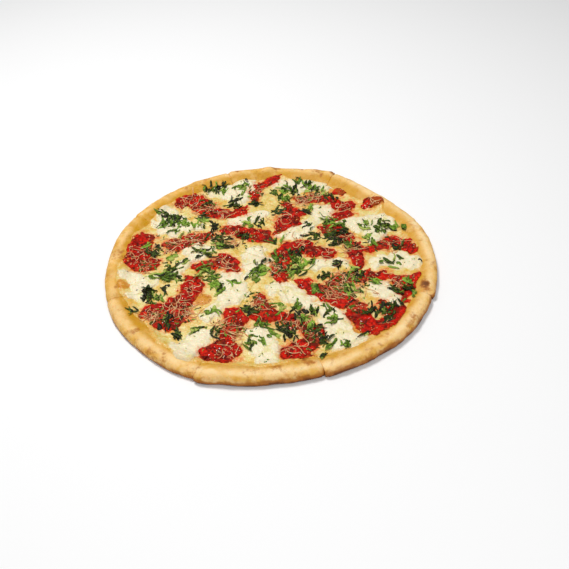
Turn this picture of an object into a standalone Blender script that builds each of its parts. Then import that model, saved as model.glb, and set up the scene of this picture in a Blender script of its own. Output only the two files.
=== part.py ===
"""A large thin-crust pizza, cut in eight slices that still lie together.

Each slice is a dough wedge with a raised rim, a melted cheese layer on it, and the patches of
crushed tomato sauce that lie in the cheese. Basil and grated hard cheese are fused to what they
lie on. The layout is in plan millimetres: +X to the right, +Y away from the viewer, +Z up, with
the origin on the table under the crossing of the four cuts. Meshes are written in metres.
"""

import math
import random

import bmesh
import bpy
from mathutils import Matrix, Vector
from mathutils.bvhtree import BVHTree

MM = 0.001

# Dough
NOMINAL_RADIUS = 225.0
BASE_HEIGHT = 3.2
RIM_HEIGHT = 13.4
RIM_FOOT = 36.0
# From the table round the outer edge, over the crest and down to the base: inset and height
RIM_PROFILE = (
    (4.0, 0.0), (0.6, 1.6), (0.0, 5.2), (1.2, 9.2), (5.0, 12.4), (11.5, RIM_HEIGHT),
    (18.5, 12.3), (25.5, 9.2), (31.0, 5.6), (RIM_FOOT, BASE_HEIGHT),
)
CREST_POINT = 5
# Waves round the rim: height, number round the pizza and start
RADIUS_WAVES = ((0.5, 9.0, 1.1), (0.3, 14.0, 0.5))
HEIGHT_WAVES = ((0.6, 7.0, 2.0), (0.3, 16.0, 0.0))
BASE_RING = 110.0
DOUGH_STEPS = 12
END_CROWDING = 0.05

# Slices: first cut's angle, rim radius at the first cut, middle and last cut, rim height
KERF = 0.8
SLICES = (
    (16.0, (227.0, 217.0, 228.0), 12.5),
    (60.0, (231.0, 222.5, 226.5), 13.5),
    (104.0, (225.5, 225.5, 227.5), 12.5),
    (149.0, (226.5, 222.5, 223.0), 13.0),
    (197.0, (223.5, 223.5, 224.5), 13.0),
    (245.0, (227.5, 220.5, 217.5), 15.0),
    (285.0, (220.5, 225.5, 226.5), 14.0),
    (335.0, (229.0, 226.0, 225.5), 13.0),
)
KNIFE_DIP = 1.8
KNIFE_TUCK = 1.2
KNIFE_REACH = 5.0

# Blisters of the dough: angle, distance from the centre, radius, height
BLISTERS = (
    (87.0, 213.0, 13.0, 3.5),
    (34.5, 206.0, 11.0, 3.2),
    (191.5, 198.0, 12.0, 2.0),
    (338.8, 213.0, 11.0, 2.6),
    (68.0, 216.0, 13.0, 2.4),
    (281.0, 200.0, 13.0, 2.2),
)

# Inset of the cheese's edge from the rim's edge, at angles round the pizza
CHEESE_EDGE = (
    (0.0, 21.0), (14.0, 26.0), (24.0, 26.0), (33.0, 11.0), (43.0, 28.0), (60.0, 30.0),
    (73.0, 28.0), (82.0, 23.0), (90.0, 27.0), (104.0, 28.0), (111.0, 29.0), (124.0, 25.5),
    (138.0, 20.5), (148.0, 27.0), (161.0, 21.5), (173.0, 21.0), (182.0, 13.5), (193.0, 18.5),
    (201.0, 24.0), (213.0, 29.0), (231.0, 15.5), (240.0, 15.0), (248.0, 24.0), (257.0, 26.0),
    (265.0, 19.0), (272.0, 22.0), (282.0, 27.0), (292.0, 28.0), (300.0, 22.0), (317.0, 19.0),
    (330.0, 22.0), (338.0, 25.0), (350.0, 19.0),
)
EDGE_WAVES = ((1.2, 23.0, 0.0), (0.8, 37.0, 0.0))
CHEESE_RINGS = (40.0, 80.0, 112.0, 140.0, 162.0, 178.0)
CHEESE_STEPS = 6
# How far the inner rings spread, as a share of their radius
RING_SPREAD = 1.06
# The unfinished underside, which the dough's shape cuts away
CHEESE_CORE = 1.0
CHEESE_GAP = 0.4
CUT_SIDE = 0.3
CHEESE_FILM = 1.0
CHEESE_LAYER = 0.9
CHEESE_POOL = 2.1
CHEESE_RIPPLE = 0.25
POOL_SLOPE = 8.0
EDGE_TAPER = 7.0
# How far a stroke's outline strays
OUTLINE_STRAY = 2.4

# Pools of fresh cheese: strokes of x, y and half-width
POOLS = (
    ((-77, 169, 12), (-47, 173, 22), (-25, 187, 14), (-35, 149, 12)),
    ((25, 179, 10), (53, 173, 18), (93, 168, 11)),
    ((-155, 133, 10), (-140, 112, 16), (-117, 89, 14), (-99, 85, 8)),
    ((-159, 97, 9), (-137, 77, 12)),
    ((-47, 89, 7), (-24, 95, 12), (-3, 105, 9)),
    ((87, 103, 17), (63, 75, 12), (41, 55, 14), (21, 52, 7)),
    ((113, 73, 9), (147, 65, 20), (171, 71, 17), (151, 39, 13)),
    ((-103, 35, 13), (-87, 25, 12), (-113, 7, 10), (-121, -15, 9)),
    ((-17, 15, 15), (-17, -9, 13), (-23, -29, 10)),
    ((-197, -15, 7), (-165, -29, 16), (-175, -53, 11)),
    ((-51, -29, 15), (-45, -57, 18), (-61, -81, 12), (-81, -101, 9)),
    ((9, -55, 13), (27, -71, 15), (49, -91, 12), (73, -107, 9)),
    ((149, -19, 12), (181, -19, 16), (197, -31, 12)),
    ((141, -73, 14), (157, -96, 9)),
    ((-89, -137, 14), (-103, -157, 18), (-109, -173, 11)),
    ((-15, -141, 17), (-10, -163, 17), (-5, -187, 10)),
    ((75, -119, 17), (80, -143, 19), (87, -165, 16), (107, -159, 8)),
    ((63, -15, 8), (87, -14, 10), (103, -21, 7)),
)

# Patches of sauce: name, and strokes of x, y and half-width
PATCHES = (
    ("a", ((-123, 150, 14), (-108, 153, 16), (-93, 133, 15), (-73, 119, 14),
         (-53, 108, 11), (-32, 115, 11))),
    ("b", ((27, 198, 6), (13, 187, 7), (-7, 178, 9), (-14, 159, 8), (-17, 143, 7))),
    ("c", ((113, 148, 8), (121, 149, 8))),
    ("d", ((150, 110, 9), (164, 114, 15), (173, 113, 13))),
    ("e", ((53, 136, 9), (79, 139, 9), (100, 126, 10), (119, 112, 14), (119, 96, 11), (104, 85, 8))),
    ("f", ((34, 121, 10), (37, 103, 17), (31, 85, 17), (19, 69, 9), (12, 58, 6))),
    ("g", ((-140, 46, 10), (-124, 48, 13), (-104, 57, 10), (-88, 59, 10))),
    ("h", ((-171, 65, 13), (-183, 42, 17), (-179, 13, 18), (-159, 7, 14))),
    ("i", ((-55, 73, 10), (-37, 69, 13), (-18, 58, 13), (-4, 53, 14))),
    ("j", ((-96, -6, 8), (-77, -1, 9), (-60, 4, 16), (-51, -6, 15))),
    ("k", ((-102, -36, 14), (-107, -59, 15), (-119, -81, 17), (-130, -96, 26), (-155, -87, 14))),
    ("l", ((-49, -101, 12), (-45, -115, 14), (-56, -135, 10), (-59, -155, 15),
         (-59, -165, 21), (-75, -167, 14))),
    ("m", ((-15, -73, 8), (-8, -91, 11), (-21, -107, 9), (5, -107, 11), (22, -118, 12))),
    ("n", ((29, -125, 9), (45, -137, 11), (53, -153, 12), (33, -169, 18), (21, -173, 14))),
    ("o", ((15, -37, 9), (15, -13, 14), (19, 13, 14), (43, 27, 12), (63, 15, 12), (81, 5, 12))),
    ("p", ((85, 59, 11), (97, 60, 11), (113, 39, 9), (120, 17, 11), (119, -11, 11), (121, -23, 6))),
    ("q", ((139, 9, 8), (159, 15, 9), (177, 25, 10), (187, 12, 12), (201, -3, 7))),
    ("r", ((45, -53, 11), (59, -69, 13), (79, -77, 16), (97, -95, 14), (111, -103, 9))),
    ("s", ((85, -51, 12), (109, -47, 12), (133, -45, 11), (149, -47, 9))),
    ("t", ((164, -59, 12), (179, -63, 14), (188, -59, 10), (171, -83, 12), (171, -97, 6))),
    ("u", ((101, -113, 12), (113, -133, 14), (127, -145, 18), (147, -143, 18),
         (155, -127, 14), (143, -109, 12))),
)
SAUCE_CELL = 12.5
SAUCE_BED = 1.8
SAUCE_EDGE = 1.0
SAUCE_DOME = 2.0
SAUCE_SLOPE = 7.0
SAUCE_LUMP = 0.5
SAUCE_MARGIN = 2.0
LEAST_SAUCE_AREA = 120.0
# Corners nearer to the outline than this share of a cell are moved on to it
SNAP_SHARE = 0.12
# Where the bed under a patch starts and how wide its slope is, outside the patch
BED_START = 6.0
BED_SLOPE = 4.0
PATCH_GAP = 3.0
BED_GAP = 0.35
CUT_ABOVE = 12.0

# Chopped basil, where the most of it lies: x, y and spread
BASIL = (
    (-64, 181, 12), (-49, 135, 10), (-87, 131, 12), (-17, 143, 8), (-137, 109, 14), (-117, 94, 10),
    (-75, 89, 12), (-26, 89, 10), (-162, 37, 14), (-69, 44, 12), (-59, 35, 10), (-23, 37, 9),
    (39, 168, 12), (81, 154, 13), (31, 145, 10), (63, 109, 8), (83, 75, 12), (69, 49, 12),
    (93, 43, 14), (95, 23, 12), (165, 59, 12), (137, 35, 10), (39, 5, 13), (37, -29, 14),
    (-139, -17, 14), (-155, -53, 14), (-89, -23, 12), (-73, -45, 9), (-131, -109, 11),
    (-17, -25, 12), (-27, -100, 10), (-13, -145, 12), (61, -108, 12), (59, -65, 10), (105, -75, 12),
    (113, -39, 9), (167, -75, 10), (127, -113, 10), (143, -111, 10),
    (47, -157, 12), (83, -167, 8),
)
BASIL_EACH = 2
BASIL_LENGTH = (11.0, 19.0)
BASIL_WIDTH = (2.4, 3.8)
BASIL_THICK = 1.8
BASIL_ARCH = 0.4
BASIL_SEED = 11

# Grated hard cheese, where it shows most: x, y and spread
GRATED = (
    (-104, 147, 14), (-125, 47, 14), (-41, 67, 12), (67, 135, 12), (33, 93, 12), (-181, 25, 12),
    (-59, 1, 10), (-131, -97, 18), (-57, -161, 14), (15, -11, 12), (77, -77, 14),
    (111, -45, 10), (135, -137, 16), (-5, -95, 8), (33, -167, 12),
)
GRATED_EACH = 1
GRATED_LENGTH = (10.0, 17.0)
GRATED_WIDTH = (1.3, 1.6)
GRATED_THICK = 1.6
GRATED_ARCH = 0.3
GRATED_SEED = 23

SHRED_STEPS = 3
SHRED_BEND = 0.9
SHRED_CLEAR = 4.0
SHRED_FROM_RIM = 9.0
# Places at least this wide get all their shreds, and the others one
WIDE_PLACE = 13
SHRED_TRIES = 24
SHRED_SCATTER = 0.6
ABOVE_ALL = 100.0

LOOKS = {
    "dough": ((0.80, 0.52, 0.22), 0.62),
    "cheese": ((0.90, 0.80, 0.56), 0.38),
    "sauce": ((0.60, 0.05, 0.02), 0.30),
}


def material(kind):
    """One Principled BSDF for each kind of piece."""
    name = "pizza_" + kind
    if name in bpy.data.materials:
        return bpy.data.materials[name]
    colour, roughness = LOOKS[kind]
    made = bpy.data.materials.new(name)
    made.use_nodes = True
    shader = made.node_tree.nodes["Principled BSDF"]
    shader.inputs["Base Color"].default_value = (*colour, 1.0)
    shader.inputs["Roughness"].default_value = roughness
    shader.inputs["Metallic"].default_value = 0.0
    return made


def smooth(share):
    """A soft step from 0 to 1 as share goes from 0 to 1."""
    share = min(max(share, 0.0), 1.0)
    return share * share * (3.0 - 2.0 * share)


def waves(table, degrees):
    """The sum of some waves round the pizza."""
    turn = math.radians(degrees)
    return sum(high * math.sin(number * turn + start) for high, number, start in table)


def wobble(x, y):
    """An uneven field of about -1 to 1, with humps 15 to 35 mm apart."""
    return (
        math.sin(0.23 * x + 0.9) * math.cos(0.19 * y - 0.4)
        + 0.8 * math.sin(0.11 * x - 0.17 * y + 2.0)
        + 0.5 * math.sin(0.27 * x + 0.31 * y)
    ) / 2.0


def span_of(index):
    """First and last cut of a slice, in degrees; the last may pass 360."""
    first = SLICES[index][0]
    last = SLICES[(index + 1) % len(SLICES)][0]
    return first, last if last > first else last + 360.0


def share_across(index, degrees):
    """0 at the slice's first cut and 1 at its last."""
    first, last = span_of(index)
    return ((degrees - first + 90.0) % 360.0 - 90.0) / (last - first)


def slice_at(x, y):
    """The slice that a plan point lies in."""
    degrees = math.degrees(math.atan2(y, x)) % 360.0
    for index in range(len(SLICES)):
        if 0.0 <= share_across(index, degrees) < 1.0:
            return index
    return 0


def knife(index, degrees):
    """1 at a cut and 0 a few millimetres of rim away from it."""
    share = min(max(share_across(index, degrees), 0.0), 1.0)
    first, last = span_of(index)
    along = min(share, 1.0 - share) * math.radians(last - first) * NOMINAL_RADIUS
    return 1.0 - smooth(along / KNIFE_REACH)


def rim_radius(index, degrees):
    """Distance from the centre to the rim's outer edge."""
    share = min(max(share_across(index, degrees), 0.0), 1.0)
    start, middle, end = SLICES[index][1]
    radius = (
        start * (1.0 - share) * (1.0 - 2.0 * share)
        + 4.0 * middle * share * (1.0 - share)
        + end * share * (2.0 * share - 1.0)
    )
    return radius + waves(RADIUS_WAVES, degrees) - KNIFE_TUCK * knife(index, degrees)


def rim_height(index, degrees):
    """Height of the rim's crest."""
    return SLICES[index][2] + waves(HEIGHT_WAVES, degrees) - KNIFE_DIP * knife(index, degrees)


def blister_height(x, y):
    """How far the dough's blisters lift a plan point."""
    lift = 0.0
    for degrees, distance, radius, height in BLISTERS:
        turn = math.radians(degrees)
        gap = math.hypot(x - distance * math.cos(turn), y - distance * math.sin(turn))
        lift += height * math.exp(-((1.3 * gap / radius) ** 2))
    return lift


def dough_top(index, x, y):
    """Height of the dough's upper side at a plan point."""
    degrees = math.degrees(math.atan2(y, x)) % 360.0
    inset = rim_radius(index, degrees) - math.hypot(x, y)
    rise = rim_height(index, degrees) - BASE_HEIGHT
    upper = RIM_PROFILE[CREST_POINT:]
    height = upper[0][1] if inset < upper[0][0] else BASE_HEIGHT
    for (near, low), (far, high) in zip(upper, upper[1:]):
        if near <= inset < far:
            height = low + (high - low) * (inset - near) / (far - near)
    lifted = BASE_HEIGHT + (height - BASE_HEIGHT) * rise / (RIM_HEIGHT - BASE_HEIGHT)
    return lifted + blister_height(x, y)


def cheese_inset(degrees):
    """Distance from the rim's outer edge in to the edge of the cheese."""
    degrees %= 360.0
    knots = CHEESE_EDGE + ((360.0, CHEESE_EDGE[0][1]),)
    for (start, near), (end, far) in zip(knots, knots[1:]):
        if start <= degrees <= end:
            return near + (far - near) * smooth((degrees - start) / (end - start))
    return knots[0][1]


def cheese_radius(index, degrees):
    """Distance from the centre to the edge of the cheese."""
    return rim_radius(index, degrees) - cheese_inset(degrees) + waves(EDGE_WAVES, degrees)


def stroke_depth(x, y, stroke):
    """How deep a plan point lies inside a stroke; negative outside it."""
    best = -1000.0
    for (x0, y0, w0), (x1, y1, w1) in zip(stroke, stroke[1:]):
        dx, dy = x1 - x0, y1 - y0
        along = ((x - x0) * dx + (y - y0) * dy) / (dx * dx + dy * dy)
        along = min(max(along, 0.0), 1.0)
        gap = math.hypot(x - x0 - along * dx, y - y0 - along * dy)
        best = max(best, w0 + (w1 - w0) * along - gap)
    return best + OUTLINE_STRAY * wobble(x, y)


def sector_depth(index, x, y, side):
    """Distance inside the slice's two cuts, less a margin at each."""
    first, last = (math.radians(cut) for cut in span_of(index))
    from_first = math.cos(first) * y - math.sin(first) * x
    from_last = math.sin(last) * x - math.cos(last) * y
    return min(from_first, from_last) - side


def patch_depth(index, x, y, stroke):
    """Depth inside a sauce patch, kept inside the cheese and the slice and clear of the others."""
    degrees = math.degrees(math.atan2(y, x)) % 360.0
    to_edge = cheese_radius(index, degrees) - SAUCE_MARGIN - math.hypot(x, y)
    own = stroke_depth(x, y, stroke)
    others = max(stroke_depth(x, y, other) for _, other in PATCHES if other != stroke)
    return min(own, (own - others - PATCH_GAP) / 2.0, to_edge, sector_depth(index, x, y, CUT_SIDE))


def sauce_depth(x, y):
    """Depth inside the nearest sauce patch; negative on the cheese."""
    return max(stroke_depth(x, y, stroke) for _, stroke in PATCHES)


def cheese_top(index, x, y):
    """Height of the cheese's upper side at a plan point."""
    degrees = math.degrees(math.atan2(y, x)) % 360.0
    to_edge = cheese_radius(index, degrees) - math.hypot(x, y)
    pool = smooth(max(stroke_depth(x, y, stroke) for stroke in POOLS) / POOL_SLOPE)
    layer = CHEESE_LAYER + CHEESE_POOL * pool + CHEESE_RIPPLE * wobble(1.7 * y, 1.7 * x)
    thick = CHEESE_FILM + layer * smooth(to_edge / EDGE_TAPER)
    bed = SAUCE_BED * smooth((sauce_depth(x, y) + BED_START) / BED_SLOPE)
    return dough_top(index, x, y) + max(thick, bed)


def new_object(name, built, kind, holder):
    """A linked object from a bmesh in millimetres."""
    bmesh.ops.scale(built, vec=(MM, MM, MM), verts=built.verts)
    bmesh.ops.recalc_face_normals(built, faces=built.faces)
    mesh = bpy.data.meshes.new(name)
    built.to_mesh(mesh)
    built.free()
    if kind:
        mesh.materials.append(material(kind))
    made = bpy.data.objects.new(name, mesh)
    holder.objects.link(made)
    return made


def spun_wedge(profile, index, steps):
    """A closed profile of radius and height, turned about the centre from cut to cut."""
    first, last = (math.radians(cut) for cut in span_of(index))
    built = bmesh.new()
    points = [built.verts.new((r * math.cos(first), r * math.sin(first), z)) for r, z in profile]
    built.faces.new(points)
    bmesh.ops.spin(
        built, geom=built.verts[:] + built.edges[:] + built.faces[:], cent=(0, 0, 0),
        axis=(0, 0, 1), angle=last - first, steps=steps, use_duplicate=False,
    )
    bmesh.ops.remove_doubles(built, verts=built.verts, dist=0.001)
    return built


def crowded(index, vert):
    """The vertex's angle in degrees, moved nearer to the slice's cuts."""
    degrees = math.degrees(math.atan2(vert.co.y, vert.co.x))
    first, last = span_of(index)
    share = share_across(index, degrees)
    share -= END_CROWDING * math.sin(2.0 * math.pi * share)
    return first + share * (last - first)


def dough_wedge(name, index, holder, lift=0.0):
    """One slice's dough: a flat base and a raised, uneven rim."""
    rim = [(NOMINAL_RADIUS - inset, height) for inset, height in RIM_PROFILE]
    profile = [(0.0, 0.0), *rim, (BASE_RING, BASE_HEIGHT), (0.0, BASE_HEIGHT)]
    built = spun_wedge(profile, index, DOUGH_STEPS)
    for vert in built.verts:
        distance = math.hypot(vert.co.x, vert.co.y)
        if distance < 1.0:
            continue
        degrees = crowded(index, vert)
        inset = NOMINAL_RADIUS - distance
        radius = rim_radius(index, degrees)
        reach = radius - inset
        if inset > RIM_FOOT:
            reach = distance * (radius - RIM_FOOT) / (NOMINAL_RADIUS - RIM_FOOT)
        turn = math.radians(degrees)
        vert.co.x, vert.co.y = reach * math.cos(turn), reach * math.sin(turn)
        if vert.co.z > BASE_HEIGHT + 0.01:
            rise = (rim_height(index, degrees) - BASE_HEIGHT) / (RIM_HEIGHT - BASE_HEIGHT)
            vert.co.z = BASE_HEIGHT + (vert.co.z - BASE_HEIGHT) * rise
        if vert.co.z > BASE_HEIGHT - 0.01:
            vert.co.z += blister_height(vert.co.x, vert.co.y)
    bmesh.ops.triangulate(built, faces=built.faces, quad_method="FIXED")
    bmesh.ops.translate(built, vec=(0, 0, lift), verts=built.verts)
    return new_object(name, built, "dough", holder)


def cheese_wedge(name, index, holder):
    """One slice's cheese, its underside still inside the dough."""
    rings = [(r, BASE_HEIGHT) for r in CHEESE_RINGS] + [(NOMINAL_RADIUS, BASE_HEIGHT)]
    core = [(0.0, CHEESE_CORE), (NOMINAL_RADIUS, CHEESE_CORE)]
    profile = [*core, *reversed(rings), (0.0, BASE_HEIGHT)]
    built = spun_wedge(profile, index, CHEESE_STEPS)
    first, last = (math.radians(cut) for cut in span_of(index))
    tip = CUT_SIDE / math.sin((last - first) / 2.0)
    bisector = Vector((math.cos((first + last) / 2.0), math.sin((first + last) / 2.0), 0.0))
    for vert in built.verts:
        distance = math.hypot(vert.co.x, vert.co.y)
        upper = vert.co.z > (CHEESE_CORE + BASE_HEIGHT) / 2.0
        if distance > 1.0:
            degrees = crowded(index, vert)
            reach = cheese_radius(index, degrees) - tip
            if distance < NOMINAL_RADIUS - 1.0:
                reach *= distance / NOMINAL_RADIUS * RING_SPREAD
            turn = math.radians(degrees)
            vert.co.x, vert.co.y = reach * math.cos(turn), reach * math.sin(turn)
        vert.co += bisector * tip
        if upper:
            vert.co.z = cheese_top(index, vert.co.x, vert.co.y)
    return new_object(name, built, "cheese", holder)


def clip_to_field(built, depth):
    """Cuts a flat triangle mesh along the line where depth is 0 and keeps the inside."""
    level = {vert: depth(vert.co.x, vert.co.y) for vert in built.verts}
    for vert, value in level.items():
        if abs(value) < SNAP_SHARE * SAUCE_CELL:
            level[vert] = 0.0
    for edge in built.edges[:]:
        start, end = edge.verts
        if level[start] * level[end] < 0.0:
            share = level[start] / (level[start] - level[end])
            _, point = bmesh.utils.edge_split(edge, start, share)
            level[point] = 0.0
    on_line = [vert for vert, value in level.items() if value == 0.0]
    bmesh.ops.connect_verts(built, verts=on_line)
    outside = [
        face for face in built.faces
        if sum(level[vert] for vert in face.verts) <= 0.0
    ]
    bmesh.ops.delete(built, geom=outside, context="FACES")


def largest_island(built):
    """Removes every group of joined faces but the largest."""
    left, groups = set(built.faces), []
    while left:
        group, reach = set(), [left.pop()]
        while reach:
            face = reach.pop()
            group.add(face)
            near = {other for edge in face.edges for other in edge.link_faces} & left
            left -= near
            reach.extend(near)
        groups.append(group)
    if not groups:
        return 0.0
    area = [sum(face.calc_area() for face in group) for group in groups]
    kept = groups[area.index(max(area))]
    dropped = [face for face in built.faces if face not in kept]
    bmesh.ops.delete(built, geom=dropped, context="FACES")
    return max(area)


def outline_normal(vert):
    """The flat outline's outward direction at a vertex, a little longer at a corner."""
    total = Vector((0.0, 0.0, 0.0))
    for edge in vert.link_edges:
        if edge.is_boundary:
            face = edge.link_faces[0]
            along = edge.verts[1].co - edge.verts[0].co
            side = Vector((along.y, -along.x, 0.0)).normalized()
            inward = face.calc_center_median() - edge.verts[0].co
            total += side if side.dot(inward) < 0.0 else -side
    half = total.length / 2.0
    return total.normalized() / max(half, 0.5)


def sauce_sheet(index, stroke):
    """A patch's flat triangle mesh in one slice, or None where too little of it lies there."""
    reach = max(width for _, _, width in stroke) + SAUCE_CELL / 2.0
    low = Vector((min(p[0] for p in stroke) - reach, min(p[1] for p in stroke) - reach, 0.0))
    high = Vector((max(p[0] for p in stroke) + reach, max(p[1] for p in stroke) + reach, 0.0))
    half = (high - low) / 2.0
    place = Matrix.Translation((low + high) / 2.0) @ Matrix.Diagonal((half.x, half.y, 1.0, 1.0))
    built = bmesh.new()
    bmesh.ops.create_grid(
        built, x_segments=round(2.0 * half.x / SAUCE_CELL),
        y_segments=round(2.0 * half.y / SAUCE_CELL), size=1.0, matrix=place,
    )
    bmesh.ops.triangulate(built, faces=built.faces, quad_method="SHORT_EDGE")
    clip_to_field(built, lambda x, y: patch_depth(index, x, y, stroke))
    if largest_island(built) < LEAST_SAUCE_AREA:
        built.free()
        return None
    return built


def sauce_solid(name, index, stroke, sheet, holder, gap=0.0, rise=0.0):
    """A domed patch of sauce over its flat mesh; a gap on every side makes its bed's cutter."""
    built = sheet.copy()
    outward = [(vert, outline_normal(vert)) for vert in built.verts if vert.is_boundary]
    for vert, side in outward:
        vert.co += side * gap
    above = bmesh.ops.extrude_face_region(built, geom=built.faces[:])["geom"]
    upper = {vert for vert in above if isinstance(vert, bmesh.types.BMVert)}
    for vert in built.verts:
        x, y = vert.co.x, vert.co.y
        bed = dough_top(index, x, y) + SAUCE_BED
        dome = SAUCE_DOME * smooth(patch_depth(index, x, y, stroke) / SAUCE_SLOPE)
        lump = SAUCE_LUMP * wobble(2.3 * x + 5.0, 2.3 * y)
        vert.co.z = bed + SAUCE_EDGE + dome + lump + rise if vert in upper else bed - gap
    return new_object(name, built, "sauce", holder)


def applied(target):
    """Bakes the object's modifiers into its mesh."""
    graph = bpy.context.evaluated_depsgraph_get()
    graph.update()
    before = target.data
    target.data = bpy.data.meshes.new_from_object(target.evaluated_get(graph))
    target.modifiers.clear()
    bpy.data.meshes.remove(before)


def combine(target, operation, helpers):
    """One Boolean with every helper of a collection, which is then removed."""
    if helpers.objects:
        step = target.modifiers.new(operation.lower(), "BOOLEAN")
        step.operation = operation
        step.operand_type = "COLLECTION"
        step.collection = helpers
        step.solver = "MANIFOLD"
        applied(target)
    for helper in helpers.objects[:]:
        bpy.data.objects.remove(helper)
    bpy.data.collections.remove(helpers)


def drop_scraps(target):
    """Keeps the largest body of a mesh, welded and without loose points."""
    built = bmesh.new()
    built.from_mesh(target.data)
    bmesh.ops.remove_doubles(built, verts=built.verts, dist=0.02 * MM)
    largest_island(built)
    bmesh.ops.delete(built, geom=[v for v in built.verts if not v.link_faces], context="VERTS")
    built.to_mesh(target.data)
    built.free()


def surface_of(target):
    """A finder of the object's upper side, in millimetres."""
    tree = BVHTree.FromObject(target, bpy.context.evaluated_depsgraph_get())

    def height(x, y):
        hit = tree.ray_cast(Vector((x, y, ABOVE_ALL)) * MM, Vector((0, 0, -1)))[0]
        return None if hit is None else hit.z / MM

    return height


def shred(name, path, width, thick, holder):
    """A thin bent strip that follows a path, as a closed solid."""
    built = bmesh.new()
    bmesh.ops.create_grid(built, x_segments=len(path) - 1, y_segments=1, size=1.0)
    columns = sorted(built.verts, key=lambda vert: vert.co.x)
    for place, point in enumerate(path):
        ahead = path[min(place + 1, len(path) - 1)] - path[max(place - 1, 0)]
        side = Vector((-ahead.y, ahead.x, 0.0)).normalized() * width / 2.0
        for vert in columns[2 * place:2 * place + 2]:
            across = 1.0 if vert.co.y > 0.0 else -1.0
            vert.co = point + side * across + Vector((0, 0, -thick / 2.0))
    bmesh.ops.triangulate(built, faces=built.faces)
    upper = bmesh.ops.extrude_face_region(built, geom=built.faces[:])["geom"]
    verts = [vert for vert in upper if isinstance(vert, bmesh.types.BMVert)]
    bmesh.ops.translate(built, vec=(0, 0, thick), verts=verts)
    return new_object(name, built, None, holder)


def host_of(points, patches):
    """The node that a shred's points all lie on, or None where they lie across an edge."""
    index = slice_at(points[0].x, points[0].y)
    if min(sector_depth(index, p.x, p.y, CUT_SIDE) for p in points) < SHRED_CLEAR:
        return None
    for key, stroke in patches[index].items():
        depths = [patch_depth(index, p.x, p.y, stroke) for p in points]
        if min(depths) > SHRED_CLEAR:
            return index, key
        if max(depths) > -SHRED_CLEAR:
            return None
    for p in points:
        degrees = math.degrees(math.atan2(p.y, p.x)) % 360.0
        if cheese_radius(index, degrees) - math.hypot(p.x, p.y) < SHRED_FROM_RIM:
            return None
    return index, "cheese"


def scatter(kind, places, each, seed, length, width, thick, arch, patches, surfaces, helpers):
    """Lays bent shreds round each place, on whatever lies there."""
    draw = random.Random(seed)
    for x, y, spread in places:
        laid, wanted = 0, each if spread >= WIDE_PLACE else 1
        for _ in range(SHRED_TRIES):
            if laid == wanted:
                break
            turn, bend = draw.uniform(0, 2 * math.pi), draw.uniform(-SHRED_BEND, SHRED_BEND)
            long, wide = draw.uniform(*length), draw.uniform(*width)
            east, north = draw.gauss(0, SHRED_SCATTER), draw.gauss(0, SHRED_SCATTER)
            path = [Vector((x + east * spread, y + north * spread, 0.0))]
            for step in range(SHRED_STEPS):
                heading = turn + bend * step
                ahead = Vector((math.cos(heading), math.sin(heading), 0.0))
                path.append(path[-1] + ahead * long / SHRED_STEPS)
            between = [(near + far) / 2.0 for near, far in zip(path, path[1:])]
            host = host_of(path + between, patches)
            heights = [surfaces[host](p.x, p.y) for p in path] if host else [None]
            if None in heights:
                continue
            for place, point in enumerate(path):
                lifted = arch * math.sin(math.pi * place / SHRED_STEPS)
                point.z = heights[place] + lifted
            shred(f"{kind}_{x}_{y}_{laid}", path, wide, thick, helpers[host])
            laid += 1


def clear_scene():
    """Removes whatever the scene already holds."""
    for old in bpy.data.objects[:]:
        bpy.data.objects.remove(old)


def main():
    """Builds the eight slices and moves each out by the knife's kerf."""
    clear_scene()
    pizza = bpy.data.collections.new("pizza")
    cutters = bpy.data.collections.new("cutters")
    for holder in (pizza, cutters):
        bpy.context.scene.collection.children.link(holder)
    nodes, patches, surfaces, helpers = {}, {}, {}, {}
    for index in range(len(SLICES)):
        label = f"slice_{index + 1}"
        nodes[index, "dough"] = dough_wedge(f"{label}_dough", index, pizza)
        nodes[index, "cheese"] = cheese_wedge(f"{label}_cheese", index, pizza)
        recess = bpy.data.collections.new(f"{label}_recess")
        cutters.children.link(recess)
        dough_wedge(f"{label}_under", index, recess, CHEESE_GAP)
        patches[index] = {}
        for key, stroke in PATCHES:
            sheet = sauce_sheet(index, stroke)
            if sheet:
                patches[index][key] = stroke
                name = f"{label}_sauce_{key}"
                nodes[index, key] = sauce_solid(name, index, stroke, sheet, pizza)
                sauce_solid(name + "_bed", index, stroke, sheet, recess, BED_GAP, CUT_ABOVE)
                sheet.free()
        combine(nodes[index, "cheese"], "DIFFERENCE", recess)
        drop_scraps(nodes[index, "cheese"])
    for key, node in nodes.items():
        if key[1] != "dough":
            surfaces[key] = surface_of(node)
            helpers[key] = bpy.data.collections.new(node.name + "_shreds")
            cutters.children.link(helpers[key])
    scatter("basil", BASIL, BASIL_EACH, BASIL_SEED, BASIL_LENGTH, BASIL_WIDTH, BASIL_THICK,
            BASIL_ARCH, patches, surfaces, helpers)
    scatter("grated", GRATED, GRATED_EACH, GRATED_SEED, GRATED_LENGTH, GRATED_WIDTH, GRATED_THICK,
            GRATED_ARCH, patches, surfaces, helpers)
    for key in surfaces:
        combine(nodes[key], "UNION", helpers[key])
        drop_scraps(nodes[key])
    bpy.data.collections.remove(cutters)
    for index in range(len(SLICES)):
        first, last = (math.radians(cut) for cut in span_of(index))
        moved = KERF / 2.0 / math.sin((last - first) / 2.0) * MM
        middle = (first + last) / 2.0
        slice_root = bpy.data.objects.new(f"slice_{index + 1}", None)
        slice_root.location = (moved * math.cos(middle), moved * math.sin(middle), 0.0)
        pizza.objects.link(slice_root)
        for key, node in nodes.items():
            if key[0] == index:
                node.parent = slice_root


main()
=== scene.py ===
"""A large thin-crust pizza in eight slices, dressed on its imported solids.

The layout is in plan millimetres: +X to the right, +Y away from the viewer, +Z up, from the middle
of the round on the table. Dough, cheese and sauce are worked out as surfaces over that plan, one
piece for each slice, and the chopped basil and grated hard cheese are laid on top of them.
"""

import itertools
import logging
import math
from dataclasses import dataclass, field
from enum import Enum

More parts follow.
